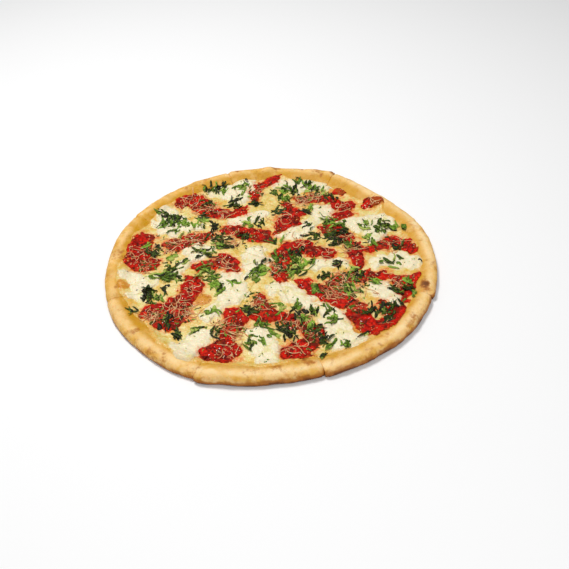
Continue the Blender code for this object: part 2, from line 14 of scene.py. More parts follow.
import bpy
import numpy as np
from mathutils import Matrix, Vector


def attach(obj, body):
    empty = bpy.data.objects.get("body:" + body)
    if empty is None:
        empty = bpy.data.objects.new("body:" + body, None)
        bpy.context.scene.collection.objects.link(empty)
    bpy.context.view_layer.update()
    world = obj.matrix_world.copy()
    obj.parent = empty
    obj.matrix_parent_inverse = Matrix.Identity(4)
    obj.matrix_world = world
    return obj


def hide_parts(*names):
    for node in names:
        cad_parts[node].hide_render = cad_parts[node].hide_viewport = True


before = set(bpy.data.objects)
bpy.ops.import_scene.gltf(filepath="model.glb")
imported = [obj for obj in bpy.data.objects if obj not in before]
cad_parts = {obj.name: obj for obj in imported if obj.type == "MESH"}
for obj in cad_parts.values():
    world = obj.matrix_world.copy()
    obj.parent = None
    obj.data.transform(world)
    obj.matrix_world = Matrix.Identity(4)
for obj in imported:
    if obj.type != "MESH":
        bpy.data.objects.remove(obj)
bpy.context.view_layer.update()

MM = 0.001
FULL_TURN = 360.0
FAR_OUTSIDE = -1000.0
LOG = logging.getLogger("pizza")

Array = np.ndarray
Points = tuple[tuple[float, float, float], ...]
Faces = list[tuple[int, ...]]
Socket = bpy.types.NodeSocket


class Slot(Enum):
    """The record's material slots."""

    DOUGH = "dough"
    CHEESE = "cheese"
    SAUCE = "sauce"


class Tone(Enum):
    """How far a cluster of basil has wilted: lowest and highest shade, from dark to bright."""

    DARK = (0.0, 0.35)
    MIXED = (0.1, 0.75)
    BRIGHT = (0.5, 1.0)


# Numbers over a plan


def ease(share: Array) -> Array:
    """A soft step from 0 to 1 as share goes from 0 to 1."""
    share = np.clip(share, 0.0, 1.0)
    return share * share * (3.0 - 2.0 * share)


def soft(value: Array, border: tuple, fray: Array | float = 0.0) -> Array:
    """A soft step from 0 to 1 over a border's start and width, where fray is added."""
    start, width = border
    return ease((value - start + fray) / width)


def angle_of(x: Array, y: Array) -> Array:
    """The angle of plan points round the pizza, in degrees from 0 to 360."""
    return np.degrees(np.arctan2(y, x)) % FULL_TURN


class Noise:
    """Smooth seeded humps of about -1 to 1 on a lattice that repeats after 64 cells."""

    SIDE = 64
    LAYER_STEP = 7.3
    FADE = 1.8

    def __init__(self, seed: int) -> None:
        """Draws the lattice.

        Args:
            seed: the lattice's own seed.
        """
        draw = np.random.default_rng(seed)
        self.values = draw.uniform(-1.0, 1.0, (self.SIDE,) * 3)

    def at(self, x: Array, y: Array, z: Array | float, size: float) -> Array:
        """Reads the humps at some points.

        Args:
            x, y: the points' coordinates.
            z: their third coordinate, or one value for all.
            size: the distance between humps, in the points' unit.

        Returns:
            One value for each point.
        """
        spots = [axis / size for axis in np.broadcast_arrays(x, y, z)]
        cells = [np.floor(spot).astype(int) for spot in spots]
        eased = [ease(spot - cell) for spot, cell in zip(spots, cells)]
        total = np.zeros(spots[0].shape)
        for corner in itertools.product((0, 1), repeat=3):
            weight = 1.0
            for step, share in zip(corner, eased):
                weight = weight * (share if step else 1.0 - share)
            place = tuple((cell + step) % self.SIDE for cell, step in zip(cells, corner))
            total += weight * self.values[place]
        return total

    def rough(self, x: Array, y: Array, size: float, octaves: int = 3) -> Array:
        """Humps with finer and lower humps on them, over the plan.

        Args:
            x, y: the points' coordinates.
            size: the distance between the largest humps.
            octaves: how many sizes of hump there are.

        Returns:
            One value of about -1 to 1 for each point.
        """
        total = np.zeros(np.shape(x))
        for octave in range(octaves):
            layer = self.at(x, y, self.LAYER_STEP * octave, size / 2.0**octave)
            total += layer / self.FADE**octave
        return total


def wobble(x: Array, y: Array) -> Array:
    """An uneven field of about -1 to 1, with humps 15 to 35 mm apart."""
    return (
        np.sin(0.23 * x + 0.9) * np.cos(0.19 * y - 0.4)
        + 0.8 * np.sin(0.11 * x - 0.17 * y + 2.0)
        + 0.5 * np.sin(0.27 * x + 0.31 * y)
    ) / 2.0


def capsule_depth(x: Array, y: Array, stroke: Points) -> Array:
    """Depth of plan points inside a stroke of round brush marks.

    Args:
        x, y: the points' coordinates.
        stroke: the brush's places and half-widths.

    Returns:
        The depth at each point, negative outside the stroke.
    """
    best = np.full(np.shape(x), FAR_OUTSIDE)
    for (x0, y0, w0), (x1, y1, w1) in zip(stroke, stroke[1:]):
        dx, dy = x1 - x0, y1 - y0
        along = np.clip(((x - x0) * dx + (y - y0) * dy) / (dx * dx + dy * dy), 0.0, 1.0)
        gap = np.hypot(x - x0 - along * dx, y - y0 - along * dy)
        best = np.maximum(best, w0 + (w1 - w0) * along - gap)
    return best


def gap_to(x: Array, y: Array, degrees: float, distance: float) -> Array:
    """Distance of plan points from a spot, given by its angle and distance from the middle."""
    turn = math.radians(degrees)
    return np.hypot(x - distance * math.cos(turn), y - distance * math.sin(turn))


# The pizza's layout


@dataclass(frozen=True)
class Layout:
    """Where the slices, the pools of cheese and the patches of sauce lie."""

    nominal_radius: float = 225.0
    kerf: float = 0.8
    # First cut's angle, rim radius at the first cut, middle and last cut, rim height
    slices: tuple = (
        (16, (227, 217, 228), 12.5),
        (60, (231, 222.5, 226.5), 13.5),
        (104, (225.5, 225.5, 227.5), 12.5),
        (149, (226.5, 222.5, 223), 13),
        (197, (223.5, 223.5, 224.5), 13),
        (245, (227.5, 220.5, 217.5), 15),
        (285, (220.5, 225.5, 226.5), 14),
        (335, (229, 226, 225.5), 13),
    )
    # Inset of the cheese's edge from the rim's edge, at angles round the pizza
    cheese_edge: tuple = (
        (0, 21), (14, 26), (24, 26), (33, 11), (43, 28), (60, 30),
        (73, 28), (82, 23), (90, 27), (104, 28), (111, 29), (124, 25.5),
        (138, 20.5), (148, 27), (161, 21.5), (173, 21), (182, 13.5),
        (193, 18.5), (201, 24), (213, 29), (231, 15.5), (240, 15),
        (248, 24), (257, 26), (265, 19), (272, 22), (282, 27),
        (292, 28), (300, 22), (317, 19), (330, 22), (338, 25),
        (350, 19), (360, 21),
    )
    # Waves round the rim and the cheese's edge: height, number round the pizza and start
    radius_waves: tuple = ((0.5, 9.0, 1.1), (0.3, 14.0, 0.5))
    height_waves: tuple = ((0.6, 7.0, 2.0), (0.3, 16.0, 0.0))
    edge_waves: tuple = ((1.2, 23.0, 0.0), (0.8, 37.0, 0.0))
    pools: tuple[Points, ...] = (
        ((-77, 169, 12), (-47, 173, 22), (-25, 187, 14), (-35, 149, 12)),
        ((25, 179, 10), (53, 173, 18), (93, 168, 11)),
        ((-155, 133, 10), (-140, 112, 16), (-117, 89, 14), (-99, 85, 8)),
        ((-159, 97, 9), (-137, 77, 12)),
        ((-47, 89, 7), (-24, 95, 12), (-3, 105, 9)),
        ((87, 103, 17), (63, 75, 12), (41, 55, 14), (21, 52, 7)),
        ((113, 73, 9), (147, 65, 20), (171, 71, 17), (151, 39, 13)),
        ((-103, 35, 13), (-87, 25, 12), (-113, 7, 10), (-121, -15, 9)),
        ((-17, 15, 15), (-17, -9, 13), (-23, -29, 10)),
        ((-197, -15, 7), (-165, -29, 16), (-175, -53, 11)),
        ((-51, -29, 15), (-45, -57, 18), (-61, -81, 12), (-81, -101, 9)),
        ((9, -55, 13), (27, -71, 15), (49, -91, 12), (73, -107, 9)),
        ((149, -19, 12), (181, -19, 16), (197, -31, 12)),
        ((141, -73, 14), (157, -96, 9)),
        ((-89, -137, 14), (-103, -157, 18), (-109, -173, 11)),
        ((-15, -141, 17), (-10, -163, 17), (-5, -187, 10)),
        ((75, -119, 17), (80, -143, 19), (87, -165, 16), (107, -159, 8)),
        ((63, -15, 8), (87, -14, 10), (103, -21, 7)),
    )
    patches: tuple[Points, ...] = (
        ((-123, 150, 14), (-108, 153, 16), (-93, 133, 15), (-73, 119, 14), (-53, 108, 11),
         (-32, 115, 11)),
        ((27, 198, 6), (13, 187, 7), (-7, 178, 9), (-14, 159, 8), (-17, 143, 7)),
        ((113, 148, 8), (121, 149, 8)),
        ((150, 110, 9), (164, 114, 15), (173, 113, 13)),
        ((53, 136, 9), (79, 139, 9), (100, 126, 10), (119, 112, 14), (119, 96, 11), (104, 85, 8)),
        ((34, 121, 10), (37, 103, 17), (31, 85, 17), (19, 69, 9), (12, 58, 6)),
        ((-140, 46, 10), (-124, 48, 13), (-104, 57, 10), (-88, 59, 10)),
        ((-171, 65, 13), (-183, 42, 17), (-179, 13, 18), (-159, 7, 14)),
        ((-55, 73, 10), (-37, 69, 13), (-18, 58, 13), (-4, 53, 14)),
        ((-96, -6, 8), (-77, -1, 9), (-60, 4, 16), (-51, -6, 15)),
        ((-102, -36, 14), (-107, -59, 15), (-119, -81, 17), (-130, -96, 26), (-155, -87, 14)),
        ((-49, -101, 12), (-45, -115, 14), (-56, -135, 10), (-59, -155, 15),
         (-59, -165, 21), (-75, -167, 14)),
        ((-15, -73, 8), (-8, -91, 11), (-21, -107, 9), (5, -107, 11), (22, -118, 12)),
        ((29, -125, 9), (45, -137, 11), (53, -153, 12), (33, -169, 18), (21, -173, 14)),
        ((15, -37, 9), (15, -13, 14), (19, 13, 14), (43, 27, 12), (63, 15, 12), (81, 5, 12)),
        ((85, 59, 11), (97, 60, 11), (113, 39, 9), (120, 17, 11), (119, -11, 11), (121, -23, 6)),
        ((139, 9, 8), (159, 15, 9), (177, 25, 10), (187, 12, 12), (201, -3, 7)),
        ((45, -53, 11), (59, -69, 13), (79, -77, 16), (97, -95, 14), (111, -103, 9)),
        ((85, -51, 12), (109, -47, 12), (133, -45, 11), (149, -47, 9)),
        ((164, -59, 12), (179, -63, 14), (188, -59, 10), (171, -83, 12), (171, -97, 6)),
        ((101, -113, 12), (113, -133, 14), (127, -145, 18), (147, -143, 18),
         (155, -127, 14), (143, -109, 12)),
    )
    knife_dip: float = 1.8
    knife_tuck: float = 1.2
    knife_reach: float = 5.0
    # How raggedly the pools and the sauce end, and the size of the raggedness
    pool_tear: float = 5.0
    sauce_tear: float = 3.6
    tear_size: float = 11.0
    sauce_fray: float = 2.2
    fray_size: float = 7.0
    sway: float = 2.4
    # How far away the noise is read for the second coordinate and for the fray
    second_read: tuple = (311.0, -97.0)
    fray_read: float = 900.0
    outlines: Noise = field(default_factory=lambda: Noise(3))

    def span(self, index: int) -> tuple[float, float]:
        """First and last cut of a slice, in degrees; the last may pass 360."""
        first = self.slices[index][0]
        last = self.slices[(index + 1) % len(self.slices)][0]
        return first, last if last > first else last + FULL_TURN

    def share(self, index: int, degrees: Array) -> Array:
        """0 at the slice's first cut and 1 at its last."""
        first, last = self.span(index)
        return ((degrees - first + 90.0) % FULL_TURN - 90.0) / (last - first)

    def index_at(self, x: Array, y: Array) -> Array:
        """The number of the slice that each plan point lies in."""
        degrees = angle_of(x, y)
        found = np.zeros(np.shape(x), dtype=int)
        for index in range(len(self.slices)):
            share = self.share(index, degrees)
            found[(share >= 0.0) & (share < 1.0)] = index
        return found

    def shift(self, index: int) -> Array:
        """How far the knife's kerf moves a slice out, in millimetres."""
        first, last = (math.radians(cut) for cut in self.span(index))
        moved = self.kerf / 2.0 / math.sin((last - first) / 2.0)
        middle = (first + last) / 2.0
        return np.array((moved * math.cos(middle), moved * math.sin(middle), 0.0))

    @staticmethod
    def waves(table: tuple, degrees: Array) -> Array:
        """The sum of some waves round the pizza."""
        turn = np.radians(degrees)
        return sum(high * np.sin(number * turn + start) for high, number, start in table)

    def knife(self, index: int, degrees: Array) -> Array:
        """1 at a cut and 0 a few millimetres of rim away from it."""
        share = np.clip(self.share(index, degrees), 0.0, 1.0)
        first, last = self.span(index)
        along = np.minimum(share, 1.0 - share) * math.radians(last - first) * self.nominal_radius
        return 1.0 - ease(along / self.knife_reach)

    def rim_radius(self, index: int, degrees: Array) -> Array:
        """Distance from the middle to the rim's outer edge."""
        share = np.clip(self.share(index, degrees), 0.0, 1.0)
        start, middle, end = self.slices[index][1]
        radius = (
            start * (1.0 - share) * (1.0 - 2.0 * share)
            + 4.0 * middle * share * (1.0 - share)
            + end * share * (2.0 * share - 1.0)
        )
        wave = self.waves(self.radius_waves, degrees)
        return radius + wave - self.knife_tuck * self.knife(index, degrees)

    def rim_height(self, index: int, degrees: Array) -> Array:
        """Height of the rim's crest."""
        wave = self.waves(self.height_waves, degrees)
        return self.slices[index][2] + wave - self.knife_dip * self.knife(index, degrees)

    def cheese_radius(self, index: int, degrees: Array) -> Array:
        """Distance from the middle to the edge of the cheese."""
        knots = np.array(self.cheese_edge)
        turned = np.mod(degrees, FULL_TURN)
        place = np.clip(np.searchsorted(knots[:, 0], turned, side="right") - 1, 0, len(knots) - 2)
        start, end = knots[place], knots[place + 1]
        part = ease((turned - start[..., 0]) / (end[..., 0] - start[..., 0]))
        inset = start[..., 1] + (end[..., 1] - start[..., 1]) * part
        return self.rim_radius(index, degrees) - inset + self.waves(self.edge_waves, degrees)

    def torn(self, x: Array, y: Array, reach: float) -> tuple[Array, Array]:
        """Plan points moved about a little, so that a stroke's outline comes out ragged."""
        east = self.outlines.rough(x, y, self.tear_size) * reach
        right, up = self.second_read
        north = self.outlines.rough(x + right, y + up, self.tear_size) * reach
        return x + east, y + north

    def pool_depth(self, x: Array, y: Array) -> Array:
        """Depth inside the nearest pool of fresh cheese."""
        x, y = self.torn(x, y, self.pool_tear)
        near = np.max([capsule_depth(x, y, stroke) for stroke in self.pools], axis=0)
        return near + self.sway * wobble(x, y)

    def sauce_depth(self, x: Array, y: Array) -> Array:
        """Depth inside the nearest patch of sauce."""
        frayed = self.sauce_fray * self.outlines.rough(x + self.fray_read, y, self.fray_size)
        x, y = self.torn(x, y, self.sauce_tear)
        near = np.max([capsule_depth(x, y, stroke) for stroke in self.patches], axis=0)
        return near + self.sway * wobble(x, y) + frayed


# Meshes


@dataclass
class Skin:
    """Vertices in millimetres, faces, and named values at the vertices."""

    points: Array
    faces: Faces
    marks: dict[str, Array] = field(default_factory=dict)

    def piece(self, name: str, material: bpy.types.Material, slot: Slot) -> bpy.types.Object:
        """Makes the mesh a piece of the model.

        Args:
            name: the piece's name.
            material: its finish.
            slot: not used.

        Returns:
            The new object, riding on the root body.
        """
        mesh = bpy.data.meshes.new(name)
        mesh.from_pydata((self.points * MM).tolist(), [], self.faces)
        mesh.shade_smooth()
        for key, values in self.marks.items():
            layer = mesh.attributes.new(key, "FLOAT", "POINT")
            layer.data.foreach_set("value", np.asarray(values, dtype=np.float32))
        mesh.materials.append(material)
        made = bpy.data.objects.new(name, mesh)
        bpy.context.scene.collection.objects.link(made)
        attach(made, "root")
        LOG.info("%s: %d faces", name, len(self.faces))
        return made


def closed_sheet(upper: Array, lower: Array, cells: Faces) -> tuple[Array, Faces, Array]:
    """Closes a sheet of cells with a floor and walls.

    Args:
        upper: every grid point on the upper side.
        lower: the same points on the lower side.
        cells: the cells that the sheet has, each counter-clockwise from above.

    Returns:
        The points that are used, the faces, and each point's number in the grid.
    """
    used = np.unique(np.concatenate([np.asarray(cell) for cell in cells]))
    place = {int(old): new for new, old in enumerate(used)}
    count = len(used)
    top = [tuple(place[v] for v in cell) for cell in cells]
    bottom = [tuple(v + count for v in reversed(cell)) for cell in top]
    sides = {edge for cell in top for edge in zip(cell, cell[1:] + cell[:1])}
    walls = [(b, a, a + count, b + count) for a, b in sides if (b, a) not in sides]
    walls.sort()
    points = np.concatenate((upper[used], lower[used]))
    return points, top + bottom + walls, np.concatenate((used, used))


@dataclass
class Dough:
    """The slices' dough: a flat base and a raised rim with blisters."""

    layout: Layout
    base: float = 3.2
    crest: float = 13.4
    crest_inset: float = 11.5
    foot: float = 36.0
    # From the table round the outer edge, over the crest and down to the base: inset and height
    profile: tuple = (
        (4, 0), (0.6, 1.6), (0, 5.2), (1.2, 9.2), (5, 12.4), (11.5, 13.4),
        (18.5, 12.3), (25.5, 9.2), (31, 5.6), (36, 3.2),
    )
    # Large blisters: angle, distance from the middle, radius, height
    blisters: tuple = (
        (87, 213, 13, 3.5), (34.5, 206, 11, 3.2), (191.5, 198, 12, 2),
        (338.8, 213, 11, 2.6), (68, 216, 13, 2.4), (281, 200, 13, 2.2),
    )
    # Browned places on the rim: angle, distance from the middle, radius, how dark
    browned: tuple = (
        (191.5, 199, 12, 1.1), (338.8, 213, 13, 1.4), (66, 219, 20, 1.15),
        (84, 217, 11, 1.1), (60, 222, 11, 0.9), (75, 221, 12, 0.8),
        (281, 199, 15, 0.95), (262, 201, 16, 0.75), (271, 203, 14, 0.8),
        (246, 214, 9, 0.5), (318, 221, 12, 0.5), (327, 222, 10, 0.5),
        (226, 218, 13, 0.6), (232, 213, 9, 0.5), (306, 221, 13, 0.6),
        (8, 220, 10, 0.4), (16, 222, 6, 0.6), (50, 218, 8, 0.5),
        (101, 217, 7, 0.8), (107, 216, 6, 0.6), (171, 206, 8, 0.7),
    )
    # Deep yellow, oily dough on the rim's inner side: angle, distance, radius
    oiled: tuple = (
        (206, 200, 26), (222, 196, 24), (133, 208, 20), (154, 205, 22),
        (170, 212, 20), (184, 212, 18), (96, 206, 16), (60, 205, 16),
        (300, 205, 18), (318, 208, 16), (336, 206, 16), (252, 198, 16),
        (120, 210, 16), (20, 204, 14), (78, 207, 16), (196, 210, 20),
    )
    # At angles round the pizza: how brown the outer side is, real browning with painted shade that is
    # strongest on the front right, how pale the crest as a painted highlight, and how golden the inner
    # side
    baked: tuple = (
        (0, 0.35, 0.8, 0.6), (15, 0.2, 1, 0.5), (30, 0.25, 0.5, 0.7), (45, 0.3, 0.8, 0.7),
        (60, 0.4, 0.4, 0.75), (90, 0.5, 0.1, 1), (105, 0.45, 0.3, 0.9), (125, 0.45, 0.1, 1),
        (150, 0.35, 0.2, 1), (175, 0.25, 0.15, 1), (195, 0.2, 0.3, 1),
        (215, 0.3, 0.5, 1), (228, 0.4, 0.6, 0.75), (243, 0.6, 0.8, 0.65),
        (258, 0.85, 0.7, 0.7), (272, 1, 1, 0.7), (288, 1, 1, 0.6),
        (300, 0.95, 0.55, 0.6), (315, 0.95, 0.9, 0.6), (332, 1, 0.7, 0.7),
        (348, 0.65, 0.7, 0.7), (360, 0.35, 0.8, 0.6),
    )
    lumps: Noise = field(default_factory=lambda: Noise(5))
    # Distance between columns of points, and steps of the curve between two points of the profile
    cell: float = 1.35
    curve_steps: int = 5
    # Rows of points on the flat base and the underside, as shares of their reach
    flat_rows: tuple = (0.12, 0.35, 0.6, 0.8, 0.93)
    under_inset: float = 6.0
    # Bumps of the rim: height and distance from one to the next, and how far they all sink
    bumps: tuple = ((0.7, 21.0), (0.4, 9.0), (0.13, 3.4))
    bump_sink: float = 0.5
    # How far inside the rim's foot the bumps begin, and over what width
    bump_lead: float = 3.0
    bump_soft: float = 8.0
    # Height under which the mesh lies on the table and has no bumps, and play at the base
    table_height: float = 0.3
    slack: float = 0.01
    blister_fall: float = 1.3
    # Small blisters: rows of the profile and margin at a cut, and the ranges they are drawn from
    seed: int = 41
    small_blisters: int = 56
    small_rows: tuple = (14, 38)
    small_margin: int = 4
    small_fall: float = 1.4
    small_size: tuple = (3.0, 8.0)
    small_lift: tuple = (0.2, 0.7)
    small_brown: tuple = (0.05, 0.3)
    # How far the round marks are pulled out of shape, the size of the pulls and the distance
    # between the readings of the noise for them
    mark_pull: float = 5.0
    pull_size: float = 9.0
    second_read: float = 70.0
    brown_share: float = 0.72
    brown_clouds: tuple = (0.25, 22.0)
    oil_share: float = 0.8
    # Browning and painted shade of the outer side: how strong and how far up, each plain and by how
    # baked it is
    browning_and_shade_strength: tuple = (0.4, 0.75)
    browning_and_shade_reach: tuple = (5.0, 11.0)
    # Borders of the outer side, going out, and of the golden inner side; place of the crest's painted
    # highlight
    outer_side: tuple = (-9.0, 7.0)
    inner_side: tuple = (11.0, 9.0)
    crest_highlight: tuple = (9.5, 6.0)
    crest_fade: float = 0.6

    def smooth_profile(self) -> Array:
        """The profile as a smooth curve through its points, from the foot outwards."""
        knots = np.array(self.profile[::-1])
        ends = np.vstack((2 * knots[0] - knots[1], knots, 2 * knots[-1] - knots[-2]))
        rows = []
        for before, start, end, after in zip(ends, ends[1:], ends[2:], ends[3:]):
            for step in range(self.curve_steps):
                t = step / self.curve_steps
                rows.append(
                    0.5 * (2 * start + (end - before) * t
                           + (2 * before - 5 * start + 4 * end - after) * t**2
                           + (3 * start - before - 3 * end + after) * t**3)
                )
        rows.append(knots[-1])
        return np.array(rows)

    def big_blisters(self, x: Array, y: Array) -> Array:
        """How far the large blisters lift plan points."""
        lift = np.zeros(np.shape(x))
        for degrees, distance, radius, height in self.blisters:
            gap = gap_to(x, y, degrees, distance)
            lift += height * np.exp(-((self.blister_fall * gap / radius) ** 2))
        return lift

    def rise(self, index: int, degrees: Array) -> Array:
        """How high the rim stands over the base, as a share of the profile's."""
        return (self.layout.rim_height(index, degrees) - self.base) / (self.crest - self.base)

    def top(self, index: int, x: Array, y: Array) -> Array:
        """Height of the dough's upper side at plan points."""
        degrees = angle_of(x, y)
        inset = self.layout.rim_radius(index, degrees) - np.hypot(x, y)
        inner = [point for point in self.smooth_profile() if point[0] >= self.crest_inset][::-1]
        insets, heights = np.array(inner).T
        height = np.interp(inset, insets, heights)
        return (
            self.base + (height - self.base) * self.rise(index, degrees) + self.big_blisters(x, y)
        )

    def spots(self, table: tuple, x: Array, y: Array) -> Array:
        """The strongest of some soft round marks at plan points."""
        mark = np.zeros(np.shape(x))
        pulled_x = x + self.mark_pull * self.lumps.rough(x, y, self.pull_size)
        pulled_y = y + self.mark_pull * self.lumps.rough(x + self.second_read, y, self.pull_size)
        for degrees, distance, radius, *strength in table:
            gap = gap_to(pulled_x, pulled_y, degrees, distance)
            mark = np.maximum(mark, (strength or [1.0])[0] * (1.0 - ease(gap / radius)))
        return mark

    def rows(self, radius: Array, rise: Array) -> list[Array]:
        """Rows of points from the middle of the base, over the rim and back below.

        Args:
            radius: the rim's outer radius in each column.
            rise: how high the rim stands in each column.

        Returns:
            The points' reach from the middle and their height, and how far outward and upward the
            surface faces.
        """
        none, full = np.zeros(len(radius)), np.ones(len(radius))
        curve = self.smooth_profile()
        slope = np.gradient(curve, axis=0)
        slope /= np.hypot(slope[:, 0], slope[:, 1])[:, None]
        rows = [
            (share * (radius - self.foot), self.base * full, none, full) for share in self.flat_rows
        ]
        for (inset, height), (out, up) in zip(curve, slope):
            raised = self.base + (height - self.base) * rise if height > self.base else height * full
            rows.append((radius - inset, raised, -up * full, -out * full))
        for share in self.flat_rows[::-1]:
            rows.append((share * (radius - self.under_inset), none, none, -full))
        return [np.array(part) for part in zip(*rows)]

    def strew(
        self, index: int, points: tuple[Array, ...], relief: Array, brown: Array
    ) -> tuple[Array, Array]:
        """Adds small blisters to one slice.

        Args:
            index: the slice's number, from 0.
            points: the coordinates of its points.
            relief: how far the points stand out so far.
            brown: how brown they are so far.

        Returns:
            The relief and the browning with the blisters.
        """
        first, last = (len(self.flat_rows) + row for row in self.small_rows)
        columns = relief.shape[1]
        draw = np.random.default_rng(self.seed + index)
        for _ in range(self.small_blisters // len(self.layout.slices)):
            row = draw.integers(first, last)
            column = draw.integers(self.small_margin, columns - self.small_margin)
            size, lift = draw.uniform(*self.small_size), draw.uniform(*self.small_lift)
            gap = np.sqrt(sum((axis - axis[row, column]) ** 2 for axis in points))
            bump = np.exp(-((self.small_fall * gap / size) ** 2))
            relief = relief + lift * bump
            brown = np.maximum(brown, bump * draw.uniform(*self.small_brown))
        return relief, brown

    def baking(self, degrees: Array, inset: Array, height: Array) -> tuple:
        """How far the oven has changed the rim, with painted shade on its outer side and a painted
        highlight on its crest.

        Args:
            degrees: the columns' angles.
            inset: the points' distances from the rim's outer edge.
            height: their heights.

        Returns:
            How brown the outer side is, real browning with painted shade that is darkest low down, how
            pale the crest as a painted highlight, how far each point belongs to the inner side and how
            golden that is.
        """
        angles, *shades = np.array(self.baked).T
        shade, pale, golden = (np.interp(np.mod(degrees, FULL_TURN), angles, row) for row in shades)
        # Painted shade: the outer side's browning darkens towards the table and where the shade column
        # is high. Painted highlight: the pale band over the crest.
        strength, reach = (plain + more * shade for plain, more in (self.browning_and_shade_strength, self.browning_and_shade_reach))
        outer = soft(-inset, self.outer_side)
        low = strength * (1.0 - ease(height / reach))
        middle, width = self.crest_highlight
        ridge = np.exp(-(((inset - middle) / width) ** 2)) * (1.0 - self.crest_fade * outer * shade)
        return low * outer, ridge * pale, soft(inset, self.inner_side), golden

    def skin(self, index: int) -> Skin:
        """One slice's dough as a closed mesh.

        Args:
            index: the slice's number, from 0.

        Returns:
            The mesh, with how brown and oily each vertex is, its low mark, real browning with painted
            shade, and its pale mark, a painted highlight on the crest.
        """
        first, last = self.layout.span(index)
        columns = round(math.radians(last - first) * self.layout.nominal_radius / self.cell) + 1
        degrees = np.linspace(first, last, columns)
        radius = self.layout.rim_radius(index, degrees)
        reach, height, out, up = self.rows(radius, self.rise(index, degrees))
        turn = np.radians(degrees)
        x, y = reach * np.cos(turn), reach * np.sin(turn)
        upper = (height > self.base - self.slack).astype(float)
        height = height + self.big_blisters(x, y) * upper
        inset = radius - reach
        rim = ease((self.foot - inset + self.bump_lead) / self.bump_soft)
        humps = sum(high * self.lumps.at(x, y, height, size) for high, size in self.bumps)
        relief, brown = self.strew(
            index, (x, y, height), (humps - self.bump_sink) * rim,
            self.brown_share * self.spots(self.browned, x, y) * upper,
        )
        relief = np.where(height < self.table_height, 0.0, relief)
        out_x, out_y = out * np.cos(turn), out * np.sin(turn)
        points = np.stack((x + relief * out_x, y + relief * out_y, height + relief * up), axis=-1)
        points[..., 2] = np.maximum(points[..., 2], 0.0)
        # low is real browning with painted shade near the table and on the front right; pale is a
        # painted highlight on the crest.
        low, pale, inner_side, golden = self.baking(degrees, inset, height)
        share, size = self.brown_clouds
        oil = np.maximum(self.oil_share * self.spots(self.oiled, x, y), inner_side)
        marks = {
            "brown": brown + share * self.lumps.rough(x, y, size) * rim * upper,
            "low": low,
            "oil": oil * golden * upper,
            "pale": pale * upper,
        }
        return self.close(index, points, marks)

    def close(self, index: int, points: Array, marks: dict[str, Array]) -> Skin:
        """Joins the rows into a closed wedge with a tip above and below."""
        rows, columns = points.shape[:2]
        number = np.arange(rows * columns).reshape(rows, columns).tolist()
        tip_top, tip_low = rows * columns, rows * columns + 1
        faces = [
            (number[i][j], number[i + 1][j], number[i + 1][j + 1], number[i][j + 1])
            for i in range(rows - 1) for j in range(columns - 1)
        ]
        for j in range(columns - 1):
            faces.append((tip_top, number[0][j], number[0][j + 1]))
            faces.append((tip_low, number[-1][j + 1], number[-1][j]))
        faces.append((tip_low, *(row[0] for row in reversed(number)), tip_top))
        faces.append((tip_top, *(row[-1] for row in number), tip_low))
        tips = np.array(((0.0, 0.0, self.base), (0.0, 0.0, 0.0)))
        flat = np.concatenate((points.reshape(-1, 3), tips)) + self.layout.shift(index)
        values = {key: np.append(value.reshape(-1), (0.0, 0.0)) for key, value in marks.items()}
        return Skin(flat, faces, values)


